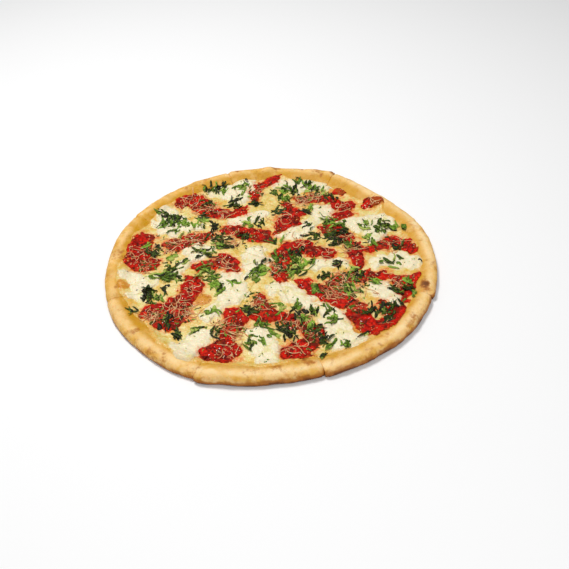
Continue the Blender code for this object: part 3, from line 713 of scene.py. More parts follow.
@dataclass
class Toppings:
    """The melted cheese and the sauce of every slice, as surfaces over the plan."""

    layout: Layout
    dough: Dough
    cell: float = 1.3
    side: float = -0.33
    film: float = 0.9
    pool_height: float = 2.5
    sink: float = 1.5
    sauce_height: float = 0.8
    ceiling: float = 17.6
    # Blisters of the cheese: x, y, radius, how brown
    toasted: tuple = (
        (-88, -70, 13, 1), (103, -143, 8, 0.6), (116, 149, 9, 1), (-195, -38, 11, 0.6),
        (166, 110, 14, 1), (-149, -121, 7, 0.3), (59, -97, 6, 0.3), (-11, 29, 6, 0.25),
    )
    # Where grated cheese has melted into the sauce, browned there partly as painted shadow: x, y,
    # radius
    dusted: tuple = (
        (-104, 55, 22), (-139, 43, 20), (-59, 55, 18), (101, -68, 30), (67, 135, 24),
        (16, -15, 18), (-111, -98, 20), (-59, -123, 16), (-14, -93, 16), (99, -47, 18),
        (31, -127, 14), (-79, 1, 12), (151, 17, 14), (91, 57, 14), (-90, 133, 15), (-29, 45, 14),
        (-168, 4, 15), (-135, 10, 14), (-82, -18, 12), (-14, 163, 13), (22, 116, 12), (92, 45, 14),
        (125, 17, 12), (167, 119, 14), (119, -55, 18), (-143, -99, 18), (-41, -134, 12),
        (-26, -75, 14), (73, -61, 18), (109, -104, 18), (48, -155, 13), (175, -76, 13),
    )
    lumps: Noise = field(default_factory=lambda: Noise(17))
    # Share of the height over the ceiling that is taken off
    flattening: float = 0.85
    # Thin cheese between the pools over the film, and how wide a pool's rounded border is
    between: float = 0.8
    pool_border: float = 9.0
    # A pool's dip beside sauce: depth, how far out it starts and its width
    pool_dip: tuple = (0.35, 3.0, 5.0)
    # Bumps of the cheese: height between pools and more in them, distance; then fine ones in pools
    swell: tuple = (0.5, 0.35, 8.0)
    crease: tuple = (0.55, 13.0)
    ripple: tuple = (0.35, 4.2)
    # The same blisters: how far they rise and how their browned disc is shaded
    blister_lift: float = 1.5
    blister_fall: float = 1.5
    blister_fray: tuple = (0.12, 6.0)
    disc_edge: tuple = (0.7, 0.25)
    disc_shade: tuple = (0.72, 0.28)
    disc_heart: tuple = (0.3, 0.4)
    # Start and width of the soft borders, in millimetres
    pool_soft: tuple = (-4.0, 7.0)
    stain_soft: tuple = (-7.0, 7.0)
    stain_fray: tuple = (3.5, 9.0)
    edge_soft: float = 11.0
    # How the cheese runs out towards the rim
    run_out: tuple = (-0.5, 7.0)
    run_power: float = 0.7
    thinnest: float = 0.35
    tuck: float = 0.9
    tuck_soft: tuple = (1.5, 2.5)
    tuck_fray: tuple = (2.0, 8.0)
    # Groove over a cut: depth plain and more in places, size of the places, start and width
    groove: tuple = (0.25, 0.3, 24.0)
    groove_soft: tuple = (-0.4, 1.8)
    # Sauce: lumps and where their noise is read, seeds, how it climbs inwards and how it ends
    chunk: tuple = (0.9, 6.5)
    chunk_read: float = 40.0
    seed_bump: tuple = (0.45, 2.7)
    climb: tuple = (0.3, -8.0, 2.5)
    sauce_border: float = 7.0
    sauce_inset: float = 1.0
    sauce_lip: float = 0.2
    sauce_fray: tuple = (1.5, 6.0)
    dust_fray: tuple = (0.3, 7.0)
    dust_sink: float = 0.25
    shallow: tuple = (-0.1, 1.1)
    # Where the cheese sinks under the sauce
    sink_soft: tuple = (0.5, 3.0)
    # Depths at which the sauce shows and its mesh ends, and how thin both layers may get
    sauce_shows: float = -0.5
    sauce_ends: float = -0.9
    sauce_thinnest: float = 0.5
    sauce_floor: float = 0.15
    sauce_least: float = 0.2
    cheese_root: float = 0.4
    least: float = 0.3
    # The outer ring of the grid of points, its first ring as a share, and where rings get coarser
    outer_ring: float = 206.0
    first_ring: float = 1.0 / 16.0
    halvings: tuple = (0.5, 0.25, 0.125)

    def capped(self, height: Array) -> Array:
        """The height, flattened where it would stand proud of the rim."""
        return height - self.flattening * np.maximum(height - self.ceiling, 0.0)

    @staticmethod
    def dome(depth: Array, reach: float) -> Array:
        """A rounded edge: 0 outside, 1 from reach millimetres inside on."""
        part = np.clip(depth / reach, 0.0, 1.0)
        return np.sqrt(1.0 - (1.0 - part) ** 2)

    def humps(self, form: tuple, x: Array, y: Array, octaves: int = 3) -> Array:
        """Rough humps of a form's height and distance."""
        high, size = form
        return high * self.lumps.rough(x, y, size, octaves)

    def layer(self, index: int, x: Array, y: Array) -> dict[str, Array]:
        """How thick the cheese lies on the dough, as if no sauce had sunk into it.

        Args:
            index: the slice's number, from 0.
            x, y: the points' coordinates.

        Returns:
            The thickness, the depth inside the sauce, and the marks that the finish reads.
        """
        degrees = angle_of(x, y)
        to_edge = self.layout.cheese_radius(index, degrees) - np.hypot(x, y)
        pool = self.layout.pool_depth(x, y)
        sauce = self.layout.sauce_depth(x, y)
        body = self.dome(pool, self.pool_border)
        dip, start, width = self.pool_dip
        dipped = 1.0 - dip * self.dome(sauce + start, width)
        thick = self.film + self.between + self.pool_height * body * dipped
        plain, more, size = self.swell
        deep, crease_size = self.crease
        creases = np.abs(self.lumps.rough(x, y, crease_size))
        thick += (plain + more * body) * self.lumps.rough(x, y, size) - deep * creases * (1 - body)
        high, size = self.ripple
        thick += high * body * self.lumps.rough(x, y, size, 2)
        toast = np.zeros(np.shape(x))
        for spot_x, spot_y, radius, shade in self.toasted:
            gap = np.hypot(x - spot_x, y - spot_y) / radius + self.humps(self.blister_fray, x, y)
            thick += self.blister_lift * shade * np.exp(-((self.blister_fall * gap) ** 2))
            disc = 1.0 - soft(gap, self.disc_edge)
            heart = self.disc_shade[0] + self.disc_shade[1] * soft(gap, self.disc_heart)
            toast = np.maximum(toast, shade * disc * heart)
        return {
            "thick": thick,
            "to_edge": to_edge,
            "sauce": sauce,
            "pool": soft(pool, self.pool_soft),
            "stain": soft(sauce, self.stain_soft, self.humps(self.stain_fray, x, y)),
            "edge": 1.0 - ease(to_edge / self.edge_soft),
            "toast": toast,
        }

    def running_out(self, to_edge: Array) -> Array:
        """The share of its thickness that the cheese has, near its edge."""
        return soft(to_edge, self.run_out) ** self.run_power

    def cheese_height(self, index: int, x: Array, y: Array) -> dict[str, Array]:
        """The cheese's upper side at plan points of a slice.

        Args:
            index: the slice's number, from 0.
            x, y: the points' coordinates.

        Returns:
            The height, and the marks that its finish reads.
        """
        marks = self.layer(index, x, y)
        height, to_edge = marks.pop("thick"), marks.pop("to_edge")
        height -= self.sink * soft(marks.pop("sauce"), self.sink_soft)
        height = np.maximum(height, self.thinnest) * self.running_out(to_edge)
        tucked = soft(to_edge, self.tuck_soft, self.humps(self.tuck_fray, x, y))
        height -= self.tuck * (1.0 - tucked)
        first, last = (math.radians(cut) for cut in self.layout.span(index))
        to_cut = np.minimum(
            math.cos(first) * y - math.sin(first) * x, math.sin(last) * x - math.cos(last) * y
        )
        plain, more, size = self.groove
        groove = plain + more * ease(self.lumps.rough(x, y, size))
        height -= groove * (1.0 - soft(to_cut, self.groove_soft)) * height
        marks["height"] = self.capped(self.dough.top(index, x, y) + height)
        return marks

    def sauce_surface(self, index: int, x: Array, y: Array) -> dict[str, Array]:
        """The sauce's upper side at plan points of a slice, as cheese_height gives the cheese's."""
        under = self.layer(index, x, y)
        to_edge = under["to_edge"] - self.sauce_inset
        depth = np.minimum(under["sauce"], to_edge + self.humps(self.sauce_fray, x, y))
        high, size = self.chunk
        chunks = self.lumps.rough(x + self.chunk_read, y, size)
        dust = np.zeros(np.shape(x))
        for spot_x, spot_y, radius in self.dusted:
            gap = np.hypot(x - spot_x, y - spot_y) / radius + self.humps(self.dust_fray, x, y)
            dust = np.maximum(dust, 1.0 - ease(gap))
        share, lowest, highest = self.climb
        rise = share * np.clip(depth, lowest, highest)
        rise += self.sauce_height * self.dome(depth - self.sauce_inset, self.sauce_border)
        rise += high * chunks + self.humps(self.seed_bump, x, y, 1) - self.dust_sink * dust
        bed = under["thick"] * self.running_out(under["to_edge"])
        return {
            "height": self.capped(
                self.dough.top(index, x, y) + np.maximum(bed + rise, self.sauce_thinnest)
            ),
            "depth": np.minimum(depth, rise + self.sauce_lip),
            "thin": 1.0 - soft(rise, self.shallow),
            # dust: where hard cheese melted in; the finish also paints brown shadow there
            "dust": dust,
            # chunk: the lumps' height; the finish paints shade into its low parts
            "chunk": 0.5 + 0.5 * chunks,
            "toast": under["toast"],
        }

    def upper(self, x: Array, y: Array) -> Array:
        """Height of whatever lies on top at plan points of any slice, before the kerf."""
        height = np.zeros(np.shape(x))
        found = self.layout.index_at(x, y)
        for index in range(len(self.layout.slices)):
            here = found == index
            if not here.any():
                continue
            px, py = x[here], y[here]
            degrees = angle_of(px, py)
            on_cheese = self.layout.cheese_radius(index, degrees) > np.hypot(px, py)
            cheese = self.cheese_height(index, px, py)["height"]
            sauce = self.sauce_surface(index, px, py)
            sauced = np.where(sauce["depth"] > self.sauce_shows, sauce["height"], 0.0)
            bare = self.dough.top(index, px, py)
            height[here] = np.where(on_cheese, np.maximum(cheese, sauced), bare)
        return height

    def grid(self, index: int) -> tuple[Array, Array, Faces]:
        """A wedge of cells, half as many across from each ring inwards where they get narrow.

        Args:
            index: the slice's number, from 0.

        Returns:
            Plan coordinates of the points and the cells.
        """
        first, last = (math.radians(cut) for cut in self.layout.span(index))
        tip = self.side / math.sin((last - first) / 2.0)
        middle = (first + last) / 2.0
        outer = self.outer_ring
        fine = 8 * round((last - first) * outer / self.cell / 8.0)
        xs, ys, rows = [], [], []
        for radius in (*np.arange(outer * self.first_ring, outer, self.cell), outer):
            across = fine >> sum(radius < outer * limit for limit in self.halvings)
            angles = np.linspace(first, last, across + 1)
            reach = self.layout.cheese_radius(index, np.degrees(angles)) - tip
            stretch = radius / outer
            rows.append(range(len(xs), len(xs) + across + 1))
            xs.extend(stretch * reach * np.cos(angles) + tip * math.cos(middle))
            ys.extend(stretch * reach * np.sin(angles) + tip * math.sin(middle))
        cells: Faces = []
        for inner, outward in zip(rows, rows[1:]):
            step = (len(outward) - 1) // (len(inner) - 1)
            for j in range(len(inner) - 1):
                far = [outward[j * step + k] for k in range(step + 1)]
                cells.append((inner[j], *far, inner[j + 1]))
        centre = len(xs)
        xs.append(tip * math.cos(middle))
        ys.append(tip * math.sin(middle))
        cells += [(centre, near, far) for near, far in zip(rows[0], rows[0][1:])]
        return np.array(xs), np.array(ys), cells

    def closed(
        self, index: int, plan: tuple[Array, Array], height: Array, floor: Array, cells: Faces,
        marks: dict[str, Array],
    ) -> Skin:
        """Makes a closed mesh of a surface, its floor and its marks.

        Args:
            index: the slice's number, from 0.
            plan: the points' plan coordinates.
            height: the height of the upper side at the points.
            floor: the height of the lower side.
            cells: the cells that the mesh has.
            marks: the values at the points.

        Returns:
            The mesh, moved out by the knife's kerf.
        """
        points, faces, used = closed_sheet(
            np.stack((*plan, height), axis=-1), np.stack((*plan, floor), axis=-1), cells
        )
        values = {key: value[used] for key, value in marks.items()}
        return Skin(points + self.layout.shift(index), faces, values)

    def cheese_skin(self, index: int) -> Skin:
        """One slice's cheese as a closed mesh."""
        x, y, cells = self.grid(index)
        marks = self.cheese_height(index, x, y)
        height = marks.pop("height")
        floor = np.minimum(self.dough.top(index, x, y) - self.cheese_root, height - self.least)
        return self.closed(index, (x, y), height, floor, cells, marks)

    def sauce_skin(self, index: int) -> Skin:
        """One slice's patches of sauce as closed meshes in one piece."""
        x, y, cells = self.grid(index)
        marks = self.sauce_surface(index, x, y)
        wanted = marks["depth"] > self.sauce_ends
        kept = [cell for cell in cells if all(wanted[v] for v in cell)]
        floor = self.dough.top(index, x, y) + self.sauce_floor
        height = np.maximum(marks.pop("height"), floor + self.sauce_least)
        return self.closed(index, (x, y), height, floor, kept, marks)


@dataclass
class Shreds:
    """Strips and threads that are scattered over the toppings."""

    toppings: Toppings
    seed: int
    length: tuple[float, float]
    width: tuple[float, float]
    thick: float
    stations: int
    bend: float
    lift: float
    fold: float
    ragged: float = 0.0
    slim: float = 0.0
    spin: float = math.pi
    ceiling: float = 18.2
    # Size of the places where strips lie alike, and how far they turn from one to the next
    drift: tuple = (70.0, 2.6)
    # Ranges of a strip's waves along it, of their start and of how its tips stand up
    waves: tuple = (3.0, 9.0)
    wave_start: tuple = (0.0, 6.3)
    tips: tuple = (-0.2, 1.0)
    wave_share: float = 0.25
    tip_share: float = 0.7
    second_bend: float = 0.6
    taper: float = 0.7
    # How far a strip leans to one side as a whole, and from one end to the other
    lean: float = 0.45
    twist: float = 0.5

    def lay(self, places: Array, tones: Array) -> Skin:
        """Lays one bent strip on each place.

        Args:
            places: plan coordinates of the strips' middles.
            tones: each strip's shade, from 0 to 1.

        Returns:
            All the strips as closed bodies of one mesh.
        """
        draw = np.random.default_rng(self.seed)
        count, stations = len(places), self.stations

        def spread(size: float) -> Array:
            """A column with one value for each strip, on either side of 0."""
            return draw.normal(0.0, size, count)[:, None]

        def between(low: float, high: float) -> Array:
            """A column with one value for each strip, from low to high."""
            return draw.uniform(low, high, count)[:, None]

        length = draw.uniform(*self.length, count)
        width = draw.uniform(*self.width, count)
        width *= 1.0 - self.slim * (length - self.length[0]) / (self.length[1] - self.length[0])
        size, turned = self.drift
        drift = self.toppings.lumps.rough(places[:, 0], places[:, 1], size, 1)
        heading = turned * drift + draw.uniform(-self.spin, self.spin, count)
        along = np.linspace(-0.5, 0.5, stations)
        curl = spread(self.bend) * along * 2.0
        curl += spread(self.bend * self.second_bend) * np.cos(along * 2.0 * math.pi)
        turn = heading[:, None] + curl
        step = (length / (stations - 1))[:, None]
        cx, cy = np.cumsum(np.cos(turn) * step, axis=1), np.cumsum(np.sin(turn) * step, axis=1)
        cx += places[:, 0, None] - cx.mean(axis=1, keepdims=True)
        cy += places[:, 1, None] - cy.mean(axis=1, keepdims=True)
        ground = self.toppings.upper(cx, cy)
        rest = 0.5 * ground + 0.5 * np.maximum(ground, ground.mean(axis=1, keepdims=True))
        wave = np.cos(along * between(*self.waves) + between(*self.wave_start))
        tips = np.abs(along * 2.0)[None, :] ** 2 * between(*self.tips)
        stack = between(0.0, 1.0) * self.lift
        rise = self.lift * (self.wave_share * wave + self.tip_share * tips)
        cz = rest + self.thick * 0.5 + stack + rise
        taper = 1.0 - self.taper * np.abs(along * 2.0) ** 3
        half = 0.5 * width[:, None] * taper[None, :] * (1.0 + self.ragged * wave)
        roll = spread(self.lean) + spread(self.twist) * along
        side = (-np.sin(turn) * np.cos(roll), np.cos(turn) * np.cos(roll), np.sin(roll))
        crease = self.fold * between(-1.0, 1.0) * half
        ring = []
        for place, level in ((-1, 0.5), (0, 0.5), (1, 0.5), (1, -0.5), (0, -0.5), (-1, -0.5)):
            x, y, z = (axis + part * half * place for axis, part in zip((cx, cy, cz), side))
            ring.append(np.stack((x, y, z + (level * self.thick + (crease if place else -crease))), -1))
        points = np.stack(ring, axis=2)
        over = np.maximum(points[..., 2].max(axis=(1, 2)) - self.ceiling, 0.0)
        points[..., 2] -= over[:, None, None]
        each = stations * len(ring)
        faces = self.tubes(count, stations, len(ring))
        marks = {"tone": tones, "grain": draw.uniform(0.0, 1.0, count)}
        values = {key: np.repeat(value, each) for key, value in marks.items()}
        return Skin(points.reshape(-1, 3), faces, values)

    @staticmethod
    def tubes(count: int, stations: int, ring: int) -> Faces:
        """Faces of count closed tubes of so many stations and ring points."""
        faces: Faces = []
        for body in range(count):
            start = body * stations * ring
            for i in range(stations - 1):
                for k in range(ring):
                    a, b = start + i * ring + k, start + i * ring + (k + 1) % ring
                    faces.append((a, b, b + ring, a + ring))
            faces.append(tuple(start + k for k in reversed(range(ring))))
            end = start + (stations - 1) * ring
            faces.append(tuple(end + k for k in range(ring)))
        return faces


def strewn(draw: np.random.Generator, table: list | tuple, spread: float) -> Array:
    """Draws plan coordinates round some places.

    Args:
        draw: where the draws come from.
        table: for each place x, y, its size and how many to draw.
        spread: how far they scatter, as a share of a place's size.

    Returns:
        One row of plan coordinates for each draw.
    """
    return np.concatenate([
        draw.normal((x, y), spread * size, (count, 2)) for x, y, size, count in table
    ])


@dataclass
class Scatter:
    """Something that is strewn over the toppings in many small strips."""

    toppings: Toppings
    seed: int
    reach: float

    def draws(self, kind: int) -> np.random.Generator:
        """Where the places and shades of a kind of strip are drawn from."""
        return np.random.default_rng(self.seed + kind)

    def laid(
        self, kind: int, draw: np.random.Generator, spots: Array, brightest: float, **form: object
    ) -> Skin:
        """Lays one kind of strip.

        Args:
            kind: the kind's number, added to the seed.
            draw: where the shades are drawn from.
            spots: plan coordinates; those beyond reach are left empty.
            brightest: the highest shade.
            form: the strips' sizes, as Shreds has them.

        Returns:
            All the strips in one mesh.
        """
        spots = spots[np.hypot(*spots.T) < self.reach]
        maker = Shreds(self.toppings, self.seed + kind, **form)
        return maker.lay(spots, draw.uniform(0.0, brightest, len(spots)))


@dataclass
class Herbs(Scatter):
    """Where the chopped basil lies: x, y, spread and how many ribbons, by how wilted it is."""

    seed: int = 7
    reach: float = 198.0
    plenty: float = 1.9
    bits_per_mm: float = 1.0
    specks_each: int = 3
    # How much farther out the ribbons go, and how widely each kind scatters about its place
    ribbon_reach: float = 8.0
    ribbon_spread: float = 0.66
    fine_spread: float = 0.6
    dark: tuple = (
        (-61, 182, 8, 6), (-47, 135, 8, 8), (-14, 135, 6, 5), (-134, 109, 9, 8), (-144, 117, 6, 4),
        (-87, 143, 8, 5), (-91, 113, 7, 4), (-75, 87, 7, 6), (-71, 57, 8, 8), (-57, 39, 9, 8),
        (-159, 33, 9, 9), (-7, 83, 6, 4), (-31, 59, 6, 4), (49, 162, 7, 5), (101, 139, 7, 4),
        (19, 113, 7, 5), (63, 109, 5, 4), (68, 47, 8, 6), (93, 43, 8, 8), (99, 29, 9, 8),
        (109, 52, 6, 4), (41, 9, 7, 5), (181, 9, 6, 4), (-162, -46, 6, 5), (-137, -45, 5, 3),
        (-159, -61, 7, 6), (-129, -107, 9, 8), (-119, -130, 6, 4), (-69, -133, 6, 4),
        (-27, -98, 8, 6), (-139, -17, 8, 6), (92, -21, 5, 4), (73, -38, 6, 4), (119, -41, 7, 5),
        (161, -75, 6, 5), (179, -81, 6, 5), (126, -115, 8, 7), (143, -110, 8, 7), (158, -106, 5, 4),
        (141, -133, 6, 4), (56, -153, 7, 6), (19, -143, 7, 6), (11, -131, 6, 4), (-175, -87, 4, 2),
        (53, -137, 7, 5), (37, -115, 7, 5), (-45, 147, 6, 3),
    )
    mixed: tuple = (
        (-84, 179, 6, 3), (-74, 175, 7, 4), (-29, 182, 6, 3), (-159, 124, 5, 2), (-147, 93, 7, 4),
        (-132, 75, 5, 2), (-127, 101, 8, 5), (-87, 21, 9, 5), (-96, 27, 7, 3), (-114, 7, 6, 2),
        (36, 169, 8, 5), (18, 159, 6, 4), (58, 184, 7, 3), (67, 171, 7, 5), (85, 155, 8, 6),
        (31, 143, 8, 6), (86, 81, 8, 5), (63, 73, 7, 3), (111, 19, 7, 5), (111, 65, 6, 3),
        (144, 65, 5, 2), (163, 61, 7, 4), (173, 57, 6, 4), (161, 47, 6, 3), (196, 45, 4, 2),
        (188, 87, 4, 1), (11, 42, 6, 3), (-129, -9, 8, 6), (-136, -23, 7, 5), (-123, -25, 5, 3),
        (-149, -63, 6, 4), (-67, -45, 7, 4), (-94, -128, 6, 3), (-13, -125, 6, 4),
        (-25, -153, 8, 4), (-19, -33, 7, 5), (-13, -15, 9, 7), (39, -25, 8, 9), (37, -7, 7, 7),
        (58, -11, 6, 3), (58, -65, 7, 6), (103, -73, 9, 7), (109, -53, 7, 4), (187, -90, 5, 4),
        (66, -166, 5, 3), (11, -98, 6, 3), (34, -95, 5, 3), (53, -107, 6, 4), (69, -106, 6, 4),
        (81, -129, 6, 2), (85, -169, 6, 3), (204, -30, 2, 1), (110, -155, 2, 1), (54, -187, 3, 2),
        (-87, -15, 8, 6), (-75, -29, 7, 5), (151, 61, 14, 5), (173, -18, 15, 4), (-149, 97, 9, 4),
        (21, -23, 9, 6), (15, 5, 9, 5),
    )
    bright: tuple = (
        (-64, 171, 6, 3), (-39, 179, 6, 3), (-27, 163, 5, 2), (-117, 95, 7, 4), (-102, 85, 6, 3),
        (-89, 100, 5, 3), (-71, 39, 6, 4), (-169, 49, 5, 3), (-131, 19, 5, 2), (-27, 87, 6, 4),
        (31, 163, 6, 3), (71, 162, 6, 3), (69, 110, 5, 3), (93, 73, 6, 3), (139, 57, 5, 2),
        (183, 54, 5, 3), (141, 34, 6, 3), (145, 19, 5, 2), (-157, -23, 5, 2), (-76, -45, 5, 4),
        (-69, -63, 5, 3), (-45, -45, 5, 2), (-74, -97, 6, 3), (-1, -141, 6, 4), (-17, -153, 6, 2),
        (45, -15, 7, 5), (31, -33, 6, 4), (113, -35, 6, 3), (138, -60, 5, 3), (181, -65, 6, 3),
        (187, -93, 4, 3), (41, -121, 6, 4), (73, -122, 6, 2), (49, -135, 6, 3), (-95, -21, 6, 3),
        (105, -69, 8, 3), (-139, -15, 7, 3), (-7, -23, 6, 3),
    )

    def ribbons(self) -> Skin:
        """The chopped leaves as thin creased strips."""
        draw = self.draws(0)
        places, tones = [], []
        tables = {Tone.DARK: self.dark, Tone.MIXED: self.mixed, Tone.BRIGHT: self.bright}
        for tone, table in tables.items():
            for x, y, spread, count in table:
                laid = round(count * self.plenty)
                places.append(strewn(draw, ((x, y, spread, laid),), self.ribbon_spread))
                tones.append(draw.uniform(*tone.value, laid))
        spots, shades = np.concatenate(places), np.concatenate(tones)
        kept = np.hypot(*spots.T) < self.reach + self.ribbon_reach
        maker = Shreds(
            self.toppings, self.seed, length=(6.0, 20.0), width=(3.4, 6.8), thick=0.3,
            stations=10, bend=0.5, lift=1.1, fold=0.35, ragged=0.18, slim=0.5, spin=0.8,
        )
        return maker.lay(spots[kept], shades[kept])

    def specks(self) -> Skin:
        """Fine bits of leaf that lie on the white pools."""
        draw = self.draws(1)
        table = [
            (*mark, self.specks_each) for stroke in self.toppings.layout.pools for mark in stroke
        ]
        return self.laid(
            1, draw, strewn(draw, table, self.fine_spread), 0.9, length=(1.6, 4.0),
            width=(0.7, 1.6), thick=0.25, stations=4, bend=0.4, lift=0.2, fold=0.2,
        )

    def bits(self) -> Skin:
        """Wilted bits of leaf among the hard cheese that melted into the sauce."""
        draw = self.draws(2)
        table = [
            (x, y, radius, round(radius * self.bits_per_mm))
            for x, y, radius in self.toppings.dusted
        ]
        return self.laid(
            2, draw, strewn(draw, table, self.fine_spread), 0.7, length=(3.0, 9.0),
            width=(1.2, 3.0), thick=0.25, stations=6, bend=0.6, lift=0.5, fold=0.3, ragged=0.2,
        )


@dataclass
class Grated(Scatter):
    """The grated hard cheese: x, y, spread and how many threads."""

    seed: int = 19
    reach: float = 200.0
    plenty: float = 1.3
    thread_spread: float = 0.85
    # Crumbs: how widely they scatter, square millimetres for each, and the size of the bare places
    crumb_spread: float = 0.62
    crumb_room: float = 8.0
    bare_size: float = 26.0
    bare_limits: tuple = (-0.7, 0.9)
    places: tuple = (
        (56, 132, 10, 12), (79, 137, 9, 9), (-139, 42, 10, 12), (-104, 57, 11, 14), (-59, 52, 10, 12),
        (-49, 42, 8, 7), (-111, -95, 12, 18), (-149, -95, 9, 9), (-65, -121, 7, 8), (-39, -133, 8, 9),
        (-14, -88, 9, 10), (-59, -158, 12, 10), (101, -68, 15, 26), (81, -83, 10, 12),
        (16, -18, 12, 14), (111, 17, 10, 9), (21, 85, 12, 9), (-109, 147, 12, 10), (23, -128, 9, 8),
        (31, -163, 10, 7), (171, 15, 10, 8), (141, -145, 10, 7), (111, 42, 9, 8), (-84, 125, 12, 9),
        (-59, 113, 10, 7), (-181, 27, 12, 9), (-169, 5, 10, 8), (-59, 2, 12, 9), (-104, -48, 12, 8),
        (101, -45, 14, 10), (176, -63, 10, 8), (41, 25, 12, 8), (76, 9, 10, 6), (41, -121, 9, 10),
        (51, -143, 8, 6), (-7, 172, 9, 5), (161, 112, 9, 5), (116, 109, 9, 5), (-124, -78, 10, 8),
    )

    def threads(self) -> Skin:
        """The shreds as thin curly threads."""
        draw = self.draws(0)
        table = [(x, y, size, round(count * self.plenty)) for x, y, size, count in self.places]
        return self.laid(
            0, draw, strewn(draw, table, self.thread_spread), 1.0, length=(9.0, 30.0),
            width=(0.55, 1.05), thick=0.45, stations=14, bend=0.9, lift=0.8, fold=0.0,
        )

    def crumbs(self) -> Skin:
        """The finest bits, scattered unevenly over the sauce."""
        draw = self.draws(1)
        layout = self.toppings.layout
        table = [
            (x, y, width, round(width * width / self.crumb_room))
            for stroke in layout.patches for x, y, width in stroke
        ]
        spots = strewn(draw, table, self.crumb_spread)
        x, y = spots.T
        limit = draw.uniform(*self.bare_limits, len(spots))
        grown = self.toppings.lumps.rough(x, y, self.bare_size) > limit
        return self.laid(
            1, draw, spots[grown & (layout.sauce_depth(x, y) > 1.0)], 1.0, length=(0.9, 2.8),
            width=(0.7, 1.6), thick=0.7, stations=4, bend=0.5, lift=0.1, fold=0.0, ragged=0.3,
        )


# Finishes


@dataclass(frozen=True)
class Colour:
    """A colour as seen on a screen, each part from 0 to 255."""

    red: float
    green: float
    blue: float

    def linear(self) -> tuple[float, float, float, float]:
        """The colour as a shader takes it."""
        parts = (part / 255.0 for part in (self.red, self.green, self.blue))
        plain = (
            part / 12.92 if part <= 0.04045 else ((part + 0.055) / 1.055) ** 2.4 for part in parts
        )
        return (*plain, 1.0)


class Nodes:
    """Short names for the nodes of one tree."""

    def __init__(self, tree: bpy.types.NodeTree) -> None:
        """Keeps the tree that the nodes go into."""
        self.tree = tree

    def feed(self, socket: Socket, value: object) -> None:
        """Links a value that is a socket and sets one that isn't."""
        if isinstance(value, Socket):
            self.tree.links.new(value, socket)
        elif isinstance(value, Colour):
            socket.default_value = value.linear()
        else:
            socket.default_value = value

    def mark(self, name: str) -> Socket:
        """A named value of the mesh."""
        node = self.tree.nodes.new("ShaderNodeAttribute")
        node.attribute_name = name
        return node.outputs["Fac"]

    def texture(self, kind: str, **values: object) -> bpy.types.Node:
        """A texture of the row frame, with its own values."""
        node = self.tree.nodes.new(kind)
        place = self.tree.nodes.new("ShaderNodeTexCoord").outputs["Object"]
        for key, value in {"Vector": place, **values}.items():
            self.feed(node.inputs[key], value)
        return node

    def noise(self, size: float, detail: float = 3.0, rough: float = 0.55, warp: float = 0.0) -> Socket:
        """Cloudy noise of 0 to 1, with humps about size metres apart."""
        return self.texture(
            "ShaderNodeTexNoise", Scale=1.0 / size, Detail=detail, Roughness=rough, Distortion=warp
        ).outputs["Fac"]

    def cells(self, size: float) -> Socket:
        """Distance to the nearest of some scattered points, for pores and droplets."""
        return self.texture("ShaderNodeTexVoronoi", Scale=1.0 / size).outputs["Distance"]

    def range(
        self, value: object, low: object, high: object, first: float = 0.0, last: float = 1.0
    ) -> Socket:
        """The value moved from low..high to first..last, with a soft start and end."""
        node = self.tree.nodes.new("ShaderNodeMapRange")
        node.interpolation_type = "SMOOTHSTEP"
        keys = ("Value", "From Min", "From Max", "To Min", "To Max")
        for key, part in zip(keys, (value, low, high, first, last)):
            self.feed(node.inputs[key], part)
        return node.outputs["Result"]

    def clouds(
        self, size: float, low: float, high: float, first: float = 0.0, last: float = 1.0,
        detail: float = 4.0, rough: float = 0.55,
    ) -> Socket:
        """Noise with its middle, from low to high, spread over first..last."""
        return self.range(self.noise(size, detail, rough), low, high, first, last)

    def broken(self, mark: str, *cloud: float, **grain: float) -> Socket:
        """A mark of the mesh with clouds taken out of it."""
        return self.math("MULTIPLY", self.mark(mark), self.clouds(*cloud, **grain))

    def frayed(self, mark: str, *cloud: float, **grain: float) -> Socket:
        """A mark of the mesh with clouds added, so that its border comes out ragged."""
        return self.math("ADD", self.mark(mark), self.clouds(*cloud, **grain))

    def math(self, operation: str, first: object, second: object = 0.0) -> Socket:
        """One sum of two values."""
        node = self.tree.nodes.new("ShaderNodeMath")
        node.operation = operation
        self.feed(node.inputs[0], first)
        self.feed(node.inputs[1], second)
        return node.outputs[0]

    def times(self, first: object, second: object) -> Socket:
        """The product of two values."""
        return self.math("MULTIPLY", first, second)

    def coats(self, colour: object, *coats: tuple[object, Colour]) -> Socket:
        """A colour under some coats, each a share and a colour of its own."""
        for share, tint in coats:
            node = self.tree.nodes.new("ShaderNodeMix")
            node.data_type = "RGBA"
            for key, value in (("Factor", share), ("A", colour), ("B", tint)):
                self.feed(node.inputs[key], value)
            colour = node.outputs["Result"]
        return colour

    def group(self, made: bpy.types.NodeTree, output: str, **values: object) -> Socket:
        """One output of a node group placed with its own values."""
        node = self.tree.nodes.new("ShaderNodeGroup")
        node.node_tree = made
        for key, value in values.items():
            self.feed(node.inputs[key], value)
        return node.outputs[output]


class Mask:
    """A node group with numbers going in and one number coming out."""

    def __init__(self, name: str, output: str, **inputs: float) -> None:
        """Makes the group.

        Args:
            name: the group's name.
            output: what comes out.
            inputs: what goes in, with the usual values.
        """
        self.tree = bpy.data.node_groups.new(name, "ShaderNodeTree")
        face = self.tree.interface
        for key, value in inputs.items():
            made = face.new_socket(key, in_out="INPUT", socket_type="NodeSocketFloat")
            made.default_value = value
        face.new_socket(output, in_out="OUTPUT", socket_type="NodeSocketFloat")
        self.nodes = Nodes(self.tree)
        self.given = self.tree.nodes.new("NodeGroupInput").outputs
        self.result = self.tree.nodes.new("NodeGroupOutput").inputs[output]

    def per_metre(self, key: str) -> Socket:
        """How many of an input's size go into a metre."""
        return self.nodes.math("DIVIDE", 1.0, self.given[key])


